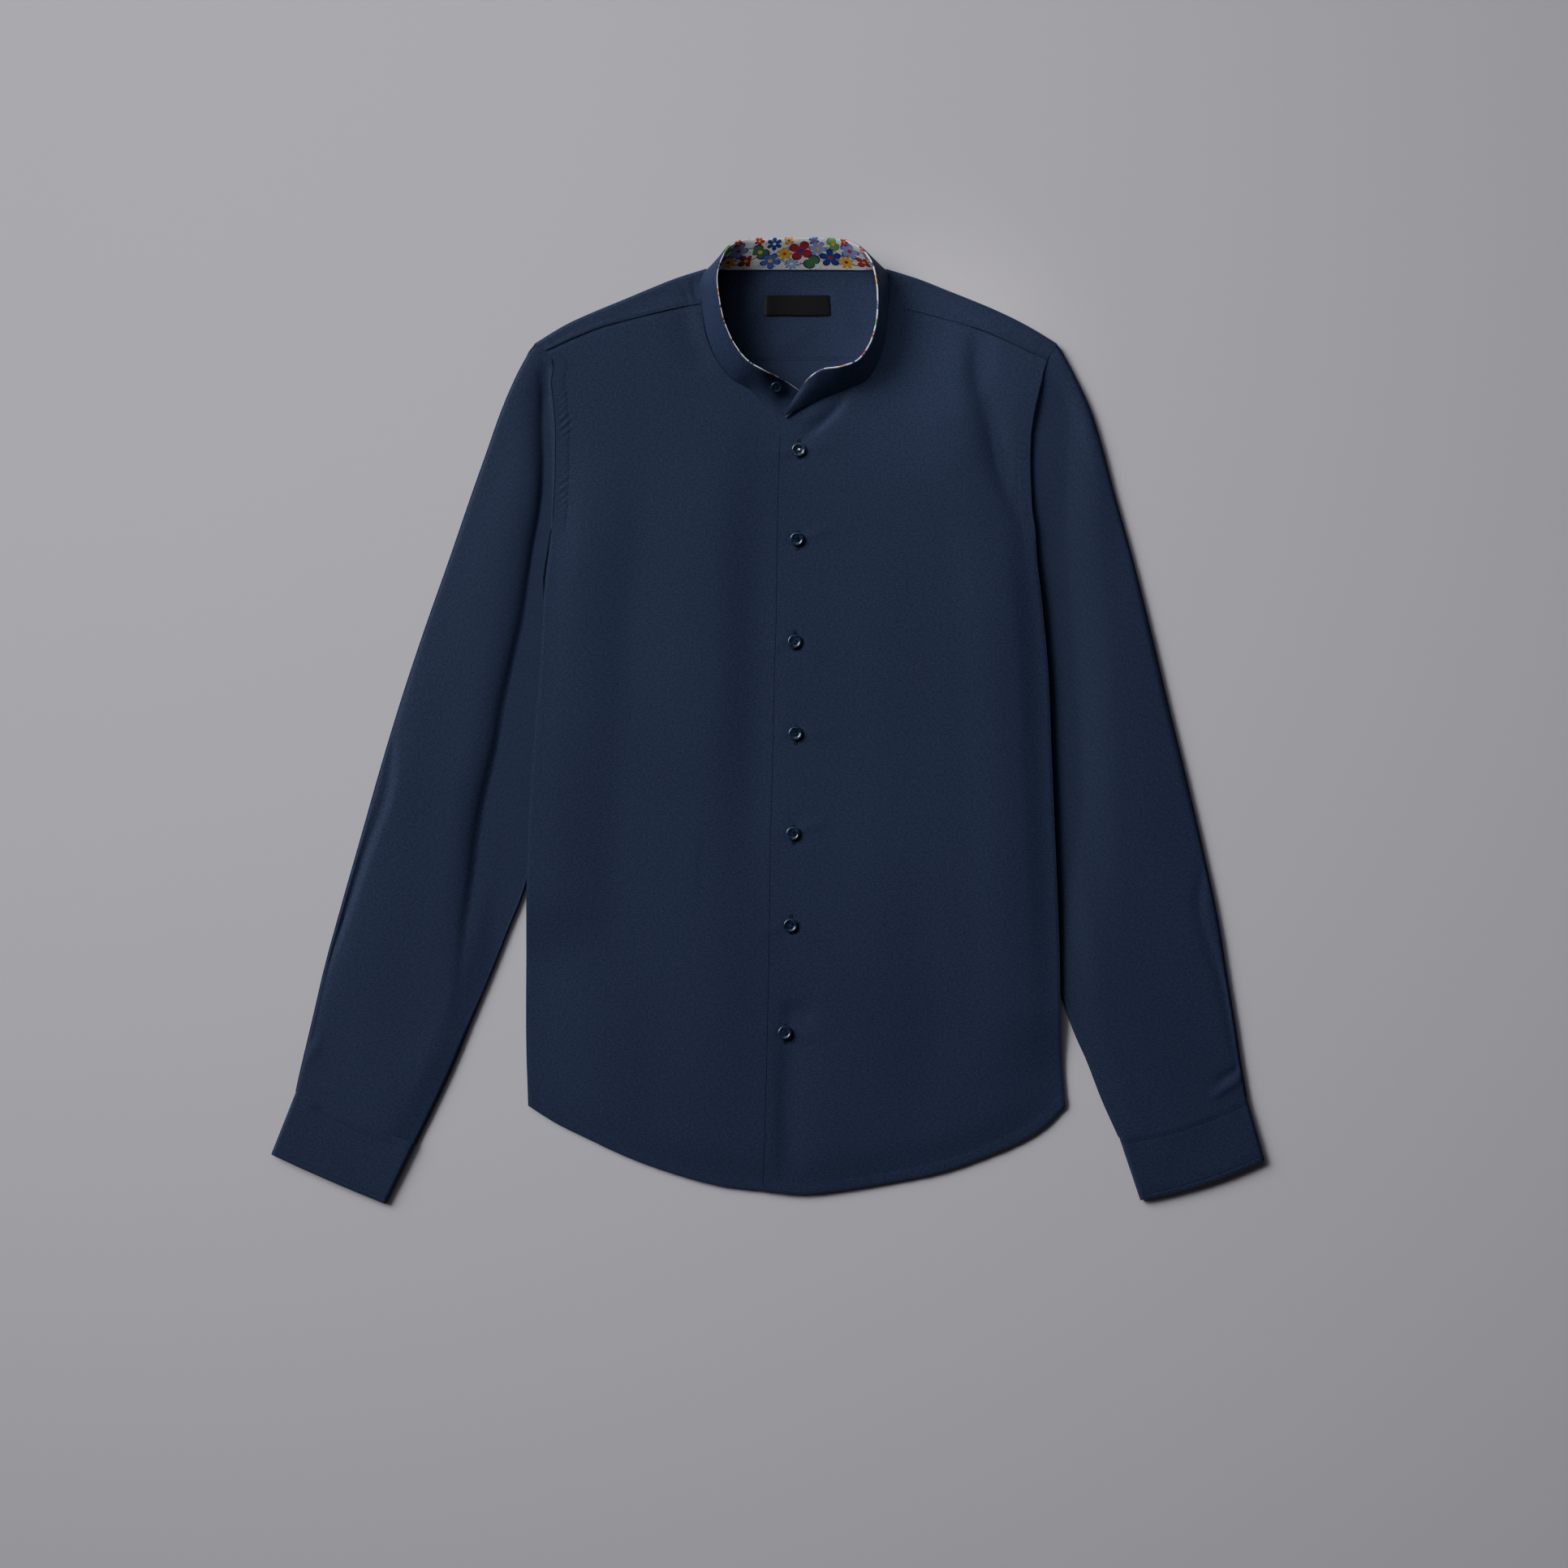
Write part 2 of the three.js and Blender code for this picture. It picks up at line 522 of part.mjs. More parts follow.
// The back's rows: the hem's curve, a row halfway to the first line, then straight lines
function makeBack() {
  const columns = (y) => {
    const left = bodyEdge('left', y);
    const right = bodyEdge('right', y);
    const [side] = SIDE_COLUMNS;
    return [
      ...SIDE_COLUMNS.slice().reverse().map((distance) => right + distance),
      ...BACK_SHARES.map((share) => lerp(right + side, left - side, share)),
      ...SIDE_COLUMNS.map((distance) => left - distance),
    ];
  };
  const { y: sideEnd } = SIDE_SEAM[0];
  const plan = [
    columns(sideEnd).map((x) => [x, hemHeight(x)]),
    columns(sideEnd + 3).map((x) => [x, lerp(hemHeight(x), BACK_LINES[0], 0.5)]),
    ...BACK_LINES.map((y) => columns(y).map((x) => [x, y])),
  ];
  return piece('back', panel(plan, backUnderside), NAVY, 0.8);
}

// Yoke: flat under the neck, folded over each shoulder down to the front seam

const FOLD_ANGLES = [-90, -45, 0, 45, 90].map(THREE.MathUtils.degToRad);
const BACK_ROWS = [0, 0.3, 0.62, 1];
const FRONT_ROW_COUNT = 2;

function yokePath({ seam, fold, backX, backBend, frontBend }) {
  const backSeam = [backX, BACK_YOKE_SEAM];
  const outer = [];
  const inner = [];
  const from = backBend ?? backSeam;
  const tangent = toward(fold, from, SHOULDER_RADIUS);
  const backPoints = backBend
    ? [backSeam, mix(backSeam, backBend, 0.5), backBend]
    : BACK_ROWS.slice(0, -1).map((share) => mix(backSeam, tangent, share));
  for (const [x, y] of backPoints) {
    outer.push([x, y, 0]);
    inner.push([x, y, CLOTH]);
  }
  const direction = toward([0, 0], [fold[0] - from[0], fold[1] - from[1]], 1);
  for (const angle of FOLD_ANGLES) {
    for (const [target, radius] of [[outer, SHOULDER_RADIUS], [inner, SHOULDER_RADIUS - CLOTH]]) {
      const reach = radius * Math.cos(angle);
      target.push([
        tangent[0] + direction[0] * reach,
        tangent[1] + direction[1] * reach,
        SHOULDER_RADIUS + radius * Math.sin(angle),
      ]);
    }
  }
  const nearSeam = toward(seam, fold, SEAM_GAP);
  for (const [x, y] of [frontBend ?? mix(tangent, nearSeam, 0.5), nearSeam]) {
    outer.push([x, y, 2 * SHOULDER_RADIUS]);
    inner.push([x, y, 2 * SHOULDER_RADIUS - CLOTH]);
  }
  return { outer, inner };
}

function neckPath(x) {
  const outer = [];
  const inner = [];
  const rows = BACK_ROWS.length - 1 + FOLD_ANGLES.length + FRONT_ROW_COUNT;
  for (let row = 0; row < rows; row += 1) {
    const y = lerp(BACK_YOKE_SEAM, BACK_NECK, BACK_ROWS[Math.min(row, BACK_ROWS.length - 1)]);
    outer.push([x, y, 0]);
    inner.push([x, y, CLOTH]);
  }
  return { outer, inner };
}

function makeYoke() {
  const right = YOKE_STATIONS.right.slice().reverse().map(yokePath);
  const neck = [-70, -48, -24, 0, 24, 48, 70].map(neckPath);
  const left = YOKE_STATIONS.left.map(yokePath);
  const paths = [...right, ...neck, ...left];
  const foldRow = BACK_ROWS.length - 1;
  const firstNeck = right.length - 1;
  const lastNeck = firstNeck + neck.length;
  const keep = (path, row) => row < foldRow || path < firstNeck || path > lastNeck;
  const geometry = shell(paths.map((path) => path.outer), paths.map((path) => path.inner), { keep });
  return piece('yoke', geometry, NAVY, 0.8);
}

// Sleeves and cuffs: flattened tubes

// One ring: from the inner edge over the top to the outer edge and back underneath
function ring(inner, outer, between, { innerRadius, outerRadius, topHeight, wall }) {
  const first = between[0];
  const last = between.at(-1);
  const half = Math.SQRT1_2;
  const turn = (from, to, radius, wallRadius, sine, cosine) => {
    const [x, y] = toward(from, to, radius - wallRadius * cosine);
    return [x, y, radius + wallRadius * sine];
  };
  return [0, wall].map((inset) => {
    const [innerWall, outerWall] = [innerRadius - inset, outerRadius - inset];
    return [
      turn(inner, first, innerRadius, innerWall, 0, 1),
      turn(inner, first, innerRadius, innerWall, half, half),
      turn(inner, first, innerRadius, innerWall, 1, 0),
      ...between.map(([x, y], number) => [x, y, topHeight(x, y, number) - inset]),
      turn(outer, last, outerRadius, outerWall, 1, 0),
      turn(outer, last, outerRadius, outerWall, half, half),
      turn(outer, last, outerRadius, outerWall, 0, 1),
      turn(outer, last, outerRadius, outerWall, -half, half),
      turn(outer, last, outerRadius, outerWall, -1, 0),
      ...between.slice().reverse().map(([x, y]) => [x, y, inset]),
      turn(inner, first, innerRadius, innerWall, -1, 0),
      turn(inner, first, innerRadius, innerWall, -half, half),
    ];
  });
}

const SLEEVE_HEIGHT = 6.0;
const SLEEVE_RISE = [36, 34]; // lengths over which a sleeve rises from its inner and outer edge
const SLEEVE_EDGE = 2.0;      // radius of the sleeve's long edges
const UNDERARM_RADIUS = 1.7;

function makeSleeve(side, rows) {
  const armhole = ARMHOLE[side];
  const outward = side === 'left' ? 1 : -1;
  const seam = offsetLine(armhole, SEAM_GAP * outward);
  const shares = ringShares(side);
  const bow = CUFFS[side].bow[0];
  const loops = rows.map(({ margin }, number) => {
    const t = number / (rows.length - 1);
    const inner = number === 0 ? seam[0] : rows[number].inner;
    const outer = number === 0 ? seam.at(-1) : rows[number].outer;
    const length = Math.hypot(outer[0] - inner[0], outer[1] - inner[1]);
    const down = toward([0, 0], [(outer[1] - inner[1]) * outward, (inner[0] - outer[0]) * outward], 1);
    const between = shares.map((share, index) => {
      const onChord = mix(seam[0], seam.at(-1), share);
      const bulge = [seam[index + 1][0] - onChord[0], seam[index + 1][1] - onChord[1]];
      const fade = (1 - t) ** 3;
      const reach = bow * 4 * share * (1 - share) * t ** 6;
      const [x, y] = mix(inner, outer, share);
      return [x + bulge[0] * fade + down[0] * reach, y + bulge[1] * fade + down[1] * reach];
    });
    const innerRadius = number === 0 ? UNDERARM_RADIUS : SLEEVE_EDGE;
    const outerRadius = lerp(SHOULDER_RADIUS, SLEEVE_EDGE + 0.4, smoothstep(t, 0, 0.3));
    const topHeight = (x, y, index) => {
      const fromInner = shares[index] * length;
      const rise = smoothstep(fromInner, margin, margin + SLEEVE_RISE[0])
        * smoothstep(length - fromInner, 0, SLEEVE_RISE[1]);
      const edge = lerp(2 * innerRadius, 2 * outerRadius, shares[index]);
      const soft = lerp(edge, SLEEVE_HEIGHT, rise) + rise * foldHeight(SLEEVE_FOLDS, x, y);
      const atSeam = upperUnderside(seam[index + 1][0], seam[index + 1][1]) + CLOTH;
      return lerp(atSeam, soft, smoothstep(t, 0, 0.12));
    };
    return ring(inner, outer, between, { innerRadius, outerRadius, topHeight, wall: CLOTH });
  });
  const geometry = shell(loops.map((loop) => loop[0]), loops.map((loop) => loop[1]), { around: true });
  return piece(`sleeve_${side}`, geometry, NAVY, 0.8);
}

// Places of a ring's points across the sleeve, as the armhole's points are spaced
function ringShares(side) {
  const armhole = ARMHOLE[side];
  const lengths = armhole.map((_, number) => seamLength(armhole.slice(0, number + 1)));
  return lengths.map((length) => length / lengths.at(-1)).slice(1, -1);
}

function seamLength(points) {
  let total = 0;
  for (let number = 1; number < points.length; number += 1) {
    const [[fromX, fromY], [toX, toY]] = [points[number - 1], points[number]];
    total += Math.hypot(toX - fromX, toY - fromY);
  }
  return total;
}

// A line moved sideways; a distance above 0 moves it to the right of its direction
function offsetLine(points, distance) {
  return points.map(([x, y], number) => {
    const before = points[Math.max(0, number - 1)];
    const after = points[Math.min(points.length - 1, number + 1)];
    const length = Math.hypot(after[0] - before[0], after[1] - before[1]);
    return [
      x + ((after[1] - before[1]) / length) * distance,
      y - ((after[0] - before[0]) / length) * distance,
    ];
  });
}

const CUFF_RADIUS = 3.0;
const CUFF_RINGS = [0, 0.5, 1];

function makeCuff(side) {
  const { seam, hand, bow } = CUFFS[side];
  const outward = side === 'left' ? 1 : -1;
  const length = Math.hypot(hand[0][0] - seam[0][0], hand[0][1] - seam[0][1]);
  const loops = CUFF_RINGS.map((share) => {
    const along = lerp(SEAM_GAP / length, 1, share);
    const inner = mix(seam[0], hand[0], along);
    const outer = mix(seam[1], hand[1], along);
    const down = toward([0, 0], [(outer[1] - inner[1]) * outward, (inner[0] - outer[0]) * outward], 1);
    const between = ringShares(side).map((across) => {
      const reach = lerp(bow[0], bow[1], along) * 4 * across * (1 - across);
      const [x, y] = mix(inner, outer, across);
      return [x + down[0] * reach, y + down[1] * reach];
    });
    const topHeight = () => 2 * CUFF_RADIUS;
    return ring(inner, outer, between, {
      innerRadius: CUFF_RADIUS, outerRadius: CUFF_RADIUS, topHeight, wall: CUFF_CLOTH,
    });
  });
  const geometry = shell(loops.map((loop) => loop[0]), loops.map((loop) => loop[1]), { around: true });
  return piece(`cuff_${side}`, geometry, NAVY, 0.8);
}

// Collar: a navy band outside and a printed lining inside, rolled over the band's top edge

const BAND_THICK = 1.5;
const LINING_THICK = 1.0;
const PLY_GAP = 0.4;
const LIP = 1.5;
const LIP_ROUND = 0.6;

// Corners as [across, height]: across is 0 on the band's outer face and grows to the inside
function bandOutline(height) {
  return [[0, 0], [BAND_THICK, 0], [BAND_THICK, height - LIP - PLY_GAP], [0, height - LIP - PLY_GAP]];
}

function liningOutline(height) {
  const near = BAND_THICK + PLY_GAP;
  const far = near + LINING_THICK;
  return [
    [near, PLY_GAP], [near, height - LIP], [0, height - LIP], [0, height - LIP_ROUND],
    [LIP_ROUND, height], [far - LIP_ROUND, height], [far, height - LIP_ROUND], [far, PLY_GAP],
  ];
}

function collarFrame(number) {
  const before = COLLAR[Math.max(0, number - 1)];
  const after = COLLAR[Math.min(COLLAR.length - 1, number + 1)];
  const { seam, edge } = COLLAR[number];
  const middle = (row) => new THREE.Vector3(...row.seam).add(new THREE.Vector3(...row.edge));
  const tangent = middle(after).sub(middle(before)).normalize();
  const foot = new THREE.Vector3(...seam);
  const up = new THREE.Vector3(...edge).sub(foot);
  const height = up.length();
  up.normalize();
  const inward = tangent.clone().cross(up).normalize();
  return { foot, up, inward, height };
}

// Sections at the table's rows, with two more between each pair
function collarSections(outline) {
  const rows = COLLAR.map((_, number) => {
    const { foot, up, inward, height } = collarFrame(number);
    return outline(height).map(([across, along]) => foot.clone()
      .addScaledVector(inward, across)
      .addScaledVector(up, along));
  });
  const between = rows.slice(1).flatMap((row, number) => [1 / 3, 2 / 3, 1].map((share) => row
    .map((corner, place) => rows[number][place].clone().lerp(corner, share))));
  return [rows[0], ...between].map((section) => section.map((corner) => corner.toArray()));
}

function makeCollar() {
  const { height } = collarFrame(0);
  return [
    piece('collar_band', loft(collarSections(bandOutline), bandOutline(height)), NAVY, 0.8),
    piece('collar_lining', loft(collarSections(liningOutline), liningOutline(height)), PRINT, 0.75),
  ];
}

// Buttons: a turned disc with a raised rim and four holes

const BUTTON_THICK = 2.6;
const HOLE_RADIUS = 0.14;   // share of the button's radius
const HOLE_PLACE = 0.22;

function buttonGeometry(radius) {
  const profile = [
    [0, 0], [0.68, 0], [1, 0.38], [1, 0.72], [0.88, 1], [0.74, 0.92], [0.6, 0.66], [0, 0.66],
  ].map(([across, up]) => new THREE.Vector2(across * radius, up * BUTTON_THICK));
  const disc = new THREE.LatheGeometry(profile, 16);
  disc.rotateX(Math.PI / 2);
  let solid = toManifold(disc);
  if (solid.volume() < 0) solid = toManifold(turnedInsideOut(disc));
  for (const [x, y] of [[1, 1], [-1, 1], [-1, -1], [1, -1]]) {
    const hole = new THREE.CylinderGeometry(HOLE_RADIUS * radius, HOLE_RADIUS * radius, BUTTON_THICK * 3, 8);
    hole.rotateX(Math.PI / 2);
    hole.translate(x * HOLE_PLACE * radius, y * HOLE_PLACE * radius, 0);
    solid = solid.subtract(toManifold(hole));
  }
  return fromManifold(solid);
}

function turnedInsideOut(geometry) {
  const turned = geometry.clone();
  turned.setIndex(Array.from(geometry.getIndex().array).reverse());
  return turned;
}

function makeButtons() {
  const buttons = BUTTON_PLACES.map(([x, y], number) => {
    const button = piece(`button_${number + 1}`, buttonGeometry(BUTTON_RADIUS), NAVY_BUTTON, 0.25);
    const around = Array.from({ length: 9 }, (_, step) => {
      const angle = (step / 8) * 2 * Math.PI;
      const reach = step === 8 ? 0 : BUTTON_RADIUS;
      return leftFrontUnderside(x + reach * Math.cos(angle), y + reach * Math.sin(angle));
    });
    button.position.set(x, y, Math.max(...around) + CLOTH + SEAM_GAP);
    return button;
  });
  const collarButton = piece('button_collar', buttonGeometry(COLLAR_BUTTON_RADIUS), NAVY_BUTTON, 0.25);
  const lower = Math.floor(COLLAR_BUTTON_STATION);
  const share = COLLAR_BUTTON_STATION - lower;
  const [a, b] = [collarFrame(lower), collarFrame(lower + 1)];
  const place = (frame) => frame.foot.clone().addScaledVector(frame.up, frame.height * COLLAR_BUTTON_HEIGHT);
  const outward = a.inward.clone().lerp(b.inward, share).negate().normalize();
  collarButton.position.copy(place(a).lerp(place(b), share)).addScaledVector(outward, SEAM_GAP + 0.3);
  collarButton.quaternion.setFromUnitVectors(new THREE.Vector3(0, 0, 1), outward);
  return [...buttons, collarButton];
}

function makeLabel() {
  const { x, y, width, depth, thick } = LABEL;
  const label = piece('label', new THREE.BoxGeometry(width, depth, thick), LABEL_BLACK, 0.7);
  label.position.set(x, y, CLOTH + SEAM_GAP + thick / 2);
  return label;
}

const shirt = new THREE.Group();
shirt.name = 'band_collar_shirt';
shirt.add(
  makeBack(),
  makeYoke(),
  ...makeFronts(),
  makeSleeve('left', SLEEVE_LEFT_ROWS),
  makeSleeve('right', SLEEVE_RIGHT_ROWS),
  makeCuff('left'),
  makeCuff('right'),
  ...makeCollar(),
  makeLabel(),
  ...makeButtons(),
);

export default shirt;
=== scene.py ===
import math

import bmesh
import bpy
import numpy as np
from bpy.props import FloatProperty, FloatVectorProperty, IntProperty, PointerProperty
from bpy.types import Operator, Panel, PropertyGroup
from mathutils import Matrix, Vector


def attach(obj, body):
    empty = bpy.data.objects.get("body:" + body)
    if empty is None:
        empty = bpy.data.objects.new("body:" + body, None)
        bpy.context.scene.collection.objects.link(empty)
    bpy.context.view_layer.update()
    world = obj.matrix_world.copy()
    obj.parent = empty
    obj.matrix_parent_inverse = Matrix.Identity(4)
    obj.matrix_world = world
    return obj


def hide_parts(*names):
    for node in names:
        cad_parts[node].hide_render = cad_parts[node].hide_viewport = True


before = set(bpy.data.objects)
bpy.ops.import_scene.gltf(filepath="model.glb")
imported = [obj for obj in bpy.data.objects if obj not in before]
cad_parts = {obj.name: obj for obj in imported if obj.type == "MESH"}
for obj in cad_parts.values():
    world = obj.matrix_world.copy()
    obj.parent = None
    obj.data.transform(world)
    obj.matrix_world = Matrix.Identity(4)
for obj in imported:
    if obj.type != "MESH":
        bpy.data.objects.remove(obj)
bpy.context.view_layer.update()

bl_info = {
    "name": "Band-collar shirt",
    "version": (1, 0, 0),
    "blender": (4, 5, 0),
    "location": "View3D > Sidebar > Shirt",
    "description": "A band-collar shirt laid flat, built piece by piece round its CAD model",
    "category": "Object",
}

# All tables are in millimetres: +X is the wearer's left, +Y points to the collar, +Z is up.
MM = 0.001
CLOTH = 1.4
SEAM_GAP = 0.3
LAYER_GAP = 0.5
SHOULDER_RADIUS = 3.1
BODY_AIR = 2.6
SHOULDER_AIR = 3.4
SLEEVE_LIFT = 4.8
LIFT_FLAT = 12
LIFT_RAMP = 78
LIFT_START = 44
LIFT_END = 60
HEM_SOFTENING = 34
OVERLAP_LIFT = 0.8
OVERLAP_RAMP = (6, 90)
BACK_YOKE_SEAM = 301
BACK_NECK = 374.0
SLEEVE_HEIGHT = 6.0
SLEEVE_EDGE = 2.0

# Side seams from the hem up, then the armholes: x of the body's edge at a height y
BODY_EDGE = {
    "left": [
        (-305, 218.0), (-260, 214.8), (-180, 213.0), (-100, 210.0), (-20, 206.6), (50, 203.7), (92, 200.0),
        (114, 197.6), (136, 195.0), (158.4, 193.4), (178, 190.5), (198, 189.4), (219.8, 188.8), (246, 190),
        (263, 193), (280, 197), (301.6, 203.3), (314, 211.5),
    ],
    "right": [
        (-305, -218.5), (-260, -220.0), (-180, -220.0), (-100, -219.0), (-20, -214.8), (50, -209.0),
        (92, -206.6), (114, -205.2), (136, -202.7), (158.4, -199.8), (167, -198.4), (186, -197.3),
        (205, -196.3), (224, -196), (247, -196), (262, -197.2), (280, -199.2), (308.7, -205), (314, -213.8),
    ],
}
ARMHOLE_START = {"left": 158.4, "right": 167}

HEM = [
    (-218.5, -305), (-199, -317.5), (-170, -332), (-140, -346), (-100, -360.5), (-61, -370.5), (-30, -374),
    (5, -377), (38, -373.5), (78, -367), (117, -359), (157, -345), (180, -335), (199, -323.5), (218, -305),
]

# Band collar, from the end under the wearer's left front round the back to the end on top:
# the outer face at its seam, then at its top edge
COLLAR = [
    (-11.9, 242.8, 5.9, 4.0, 274.6, 6.6), (-18.5, 251.0, 5.9, -5.9, 281.0, 9.6),
    (-25.7, 262.0, 5.5, -15.2, 285.1, 19.0), (-37.0, 275.2, 4.8, -27.7, 289.7, 29.5),
    (-52.1, 283.8, 4.7, -40.9, 297.7, 31.3), (-64.7, 298.3, 4.7, -50.8, 310.2, 31.0),
    (-73.9, 318.1, 4.7, -58.7, 326.7, 31.4), (-78.3, 347.2, 4.7, -64.0, 350.0, 33.0),
    (-79.9, 361.7, 4.4, -65.3, 366.5, 32.0), (-75.0, 373.0, 2.4, -62.0, 380.0, 29.4),
    (-67.3, 375.8, 1.1, -55.4, 391.4, 25.0), (-54.0, 375.6, 0.3, -44.9, 396.7, 22.6),
    (-27.7, 375.6, 0.3, -24.4, 398.0, 22.4), (1.3, 375.6, 0.3, 2.0, 398.6, 22.2),
    (30.4, 375.6, 0.3, 28.4, 398.0, 22.4), (52.8, 375.6, 0.3, 43.6, 395.3, 23.2),
    (66.7, 375.8, 1.1, 52.8, 389.4, 26.4), (73.4, 373.0, 2.4, 60.7, 378.2, 30.5),
    (75.2, 363.0, 4.4, 64.7, 363.0, 34.0), (74.3, 345.0, 4.7, 66.0, 345.0, 34.6),
    (72.6, 320.1, 4.8, 64.0, 324.7, 34.8), (67.3, 300.3, 5.0, 58.7, 309.5, 34.0),
    (56.8, 283.8, 5.4, 49.5, 297.7, 32.6), (38.3, 275.9, 6.2, 35.6, 292.4, 31.0),
    (18.5, 268.0, 7.4, 19.8, 290.4, 26.6), (2.0, 260.7, 9.0, 8.6, 283.8, 19.4),
    (-10.6, 254.1, 10.0, 2.0, 276.5, 12.2),
]

# Front panels: inner x, inner y and outer y of each line across, from the hem to the yoke seam.
# Above the last line here the inner edge is the neckline.
FRONT_ROWS = {
    "left": [
        (-28.0, -374, -305), (-26.5, -330, -280), (-25.0, -277, -241), (-24.0, -230, -206),
        (-23.0, -185, -171), (-22.5, -145, -135), (-22.0, -105, -100), (-21.0, -64, -60), (-20.0, -25, -23),
        (-19.2, 11, 14), (-18.5, 46, 50), (-17.2, 88, 92), (-16.8, 114, 114), (-16.5, 140, 136),
        (-16.0, 168, 158.4), (-15.5, 198, 178), (-14.5, 224, 198), (-13.5, 244.9, 219.8),
    ],
    "right": [
        (6.5, -377, -305), (8.5, -330, -280), (10.0, -277, -241), (11.0, -230, -206), (12.0, -185, -171),
        (12.5, -145, -135), (13.0, -105, -100), (13.8, -64, -60), (14.5, -25, -23), (15.2, 11, 14),
        (16.0, 46, 50), (17.0, 88, 92), (17.6, 114, 114), (18.0, 137, 136), (18.3, 161, 158.4),
        (18.5, 178, 167), (18.5, 204, 186), (17.5, 224, 205), (8.0, 238, 224),
    ],
}
NECK_OUTER = {
    "left": [235, 246, 263, 271.5, 280, 287.2, 294.4, 301.6],
    "right": [235.5, 247, 262, 280, 287.2, 294.4, 301.5, 308.7],
}

# Yoke over each shoulder, from the neck to the armhole: front seam, shoulder fold, x of the back seam
YOKE_STATIONS = {
    "left": [
        (74.1, 345.0, 72.3, 375.0, 74.2), (92.0, 342.0, 98.0, 367.0, 96), (113.5, 336.6, 122.0, 357.6, 120),
        (134.0, 331.0, 143.0, 349.2, 141), (152.8, 325.0, 162.0, 341.2, 160),
        (178.2, 313.5, 188.0, 328.3, 182), (203.3, 301.6, 211.5, 314.0, 202.9),
    ],
    "right": [
        (-78.1, 347.2, -73.8, 375.2, -75.5), (-97.7, 343.9, -99.0, 367.2, -98),
        (-118.0, 339.2, -122.0, 358.0, -120), (-138.0, 334.2, -143.0, 349.2, -141),
        (-158.4, 328.7, -163.0, 341.0, -160), (-182.2, 319.4, -188.0, 329.6, -182),
        (-205.0, 308.7, -213.8, 314.0, -203.4),
    ],
}

# Sleeves, a row for each ring: inner edge, outer edge, and how far it stays flat beside the body
SLEEVES = {
    "left": [
        (193.9, 158.4, 211.5, 314, 2), (195.6, 136, 224, 291, 8), (198.3, 114, 238, 261, 14),
        (197.0, 94, 248, 229, 18), (194.5, 66, 256, 198, 22), (195.3, 13, 272.5, 138.5, 22),
        (198.0, -39.5, 287.5, 79, 22), (200.8, -92.5, 301.5, 20, 22), (203.6, -142, 317, -43, 21),
        (206.5, -174, 330, -99, 18), (211.2, -203, 342, -155, 13), (217.5, -223, 349, -198, 8),
        (224.5, -243, 355.5, -237.5, 4), (235.5, -268, 360.5, -270.5, 3), (247.5, -299, 363.5, -288, 2),
        (261.7, -330.7, 365.2, -297.7, 2),
    ],
    "right": [
        (-198.9, 167, -213.8, 314, 2), (-202.5, 145, -227, 290, 8), (-205.7, 123, -241, 257.5, 14),
        (-205.2, 103, -251, 229, 18), (-201.0, 72, -262, 198, 21), (-202.8, 20, -282.5, 138.5, 22),
        (-206.4, -33, -303.5, 79, 22), (-210.8, -76, -323, 20, 19), (-216.2, -108, -340, -36.5, 13),
        (-223.5, -134, -354, -86, 7), (-234, -160, -369, -138.5, 4), (-249, -198, -383.5, -191.5, 3),
        (-265.5, -237.5, -394, -236.5, 3), (-281, -275, -401, -266, 2), (-297, -309, -405, -283, 2),
        (-310.5, -336.6, -407.2, -293.7, 2),
    ],
}
CUFFS = {
    "left": ((261.7, -330.7), (365.2, -297.7), (278.8, -381.7), (379.8, -348.9), (4.5, 3.6)),
    "right": ((-310.5, -336.6), (-407.2, -293.7), (-334, -384.8), (-427.3, -344.3), (3.0, 0.8)),
}
TUCK = {"left": (158.4, -222), "right": (167, -134)}

# Soft ridges (height above 0) and troughs of the body: points along it, width to either side, height
BODY_FOLDS = [
    (((148, 332), (146, 293), (156, 255), (168, 205), (180, 176)), 15, 8, -2.6),
    (((130, 322), (131, 260), (146, 205)), 12, 26, 1.4),
    (((176, 186), (186, 160), (188, 138)), 6, 5, -0.8),
    (((-60, 268), (-68, 150), (-70, 20), (-76, -60)), 29, 70, 3.0),
    (((-76, 20), (-70, -150), (-64, -320)), 34, 60, 1.6),
    (((-36, 190), (-33, 40), (-40, -140)), 18, 20, -0.9),
    (((-160, 290), (-168, 120), (-150, -60)), 30, 26, 0.8),
    (((-86, 346), (-76, 326), (-62, 308), (-46, 292)), 5.5, 7, 1.3),
    (((-92, 344), (-84, 312), (-72, 288)), 9, 12, -1.0),
    (((43, 288), (35, 265), (22, 251), (5, 237)), 3.4, 6, -1.7),
    (((48, 280), (42, 258), (30, 244), (16, 234)), 14, 8, 0.25),
    (((8, 262), (18, 256), (26, 262)), 5, 6, 0.5),
    (((112, 230), (118, 20), (122, -240)), 62, 74, 3.6),
    (((62, 190), (70, 20), (72, -210)), 30, 26, 0.7),
    (((150, 175), (158, 20), (160, -260)), 38, 46, 2.6),
    (((96, -120), (110, -220), (104, -330)), 22, 26, -0.8),
    (((-4, -216), (-8, -290), (-9, -400)), 17, 8, -1.3),
    (((-12, -233), (2, -228), (14, -236)), 7, 7, -0.9),
    (((-120, -200), (-112, -280), (-122, -340)), 26, 20, -0.7),
]
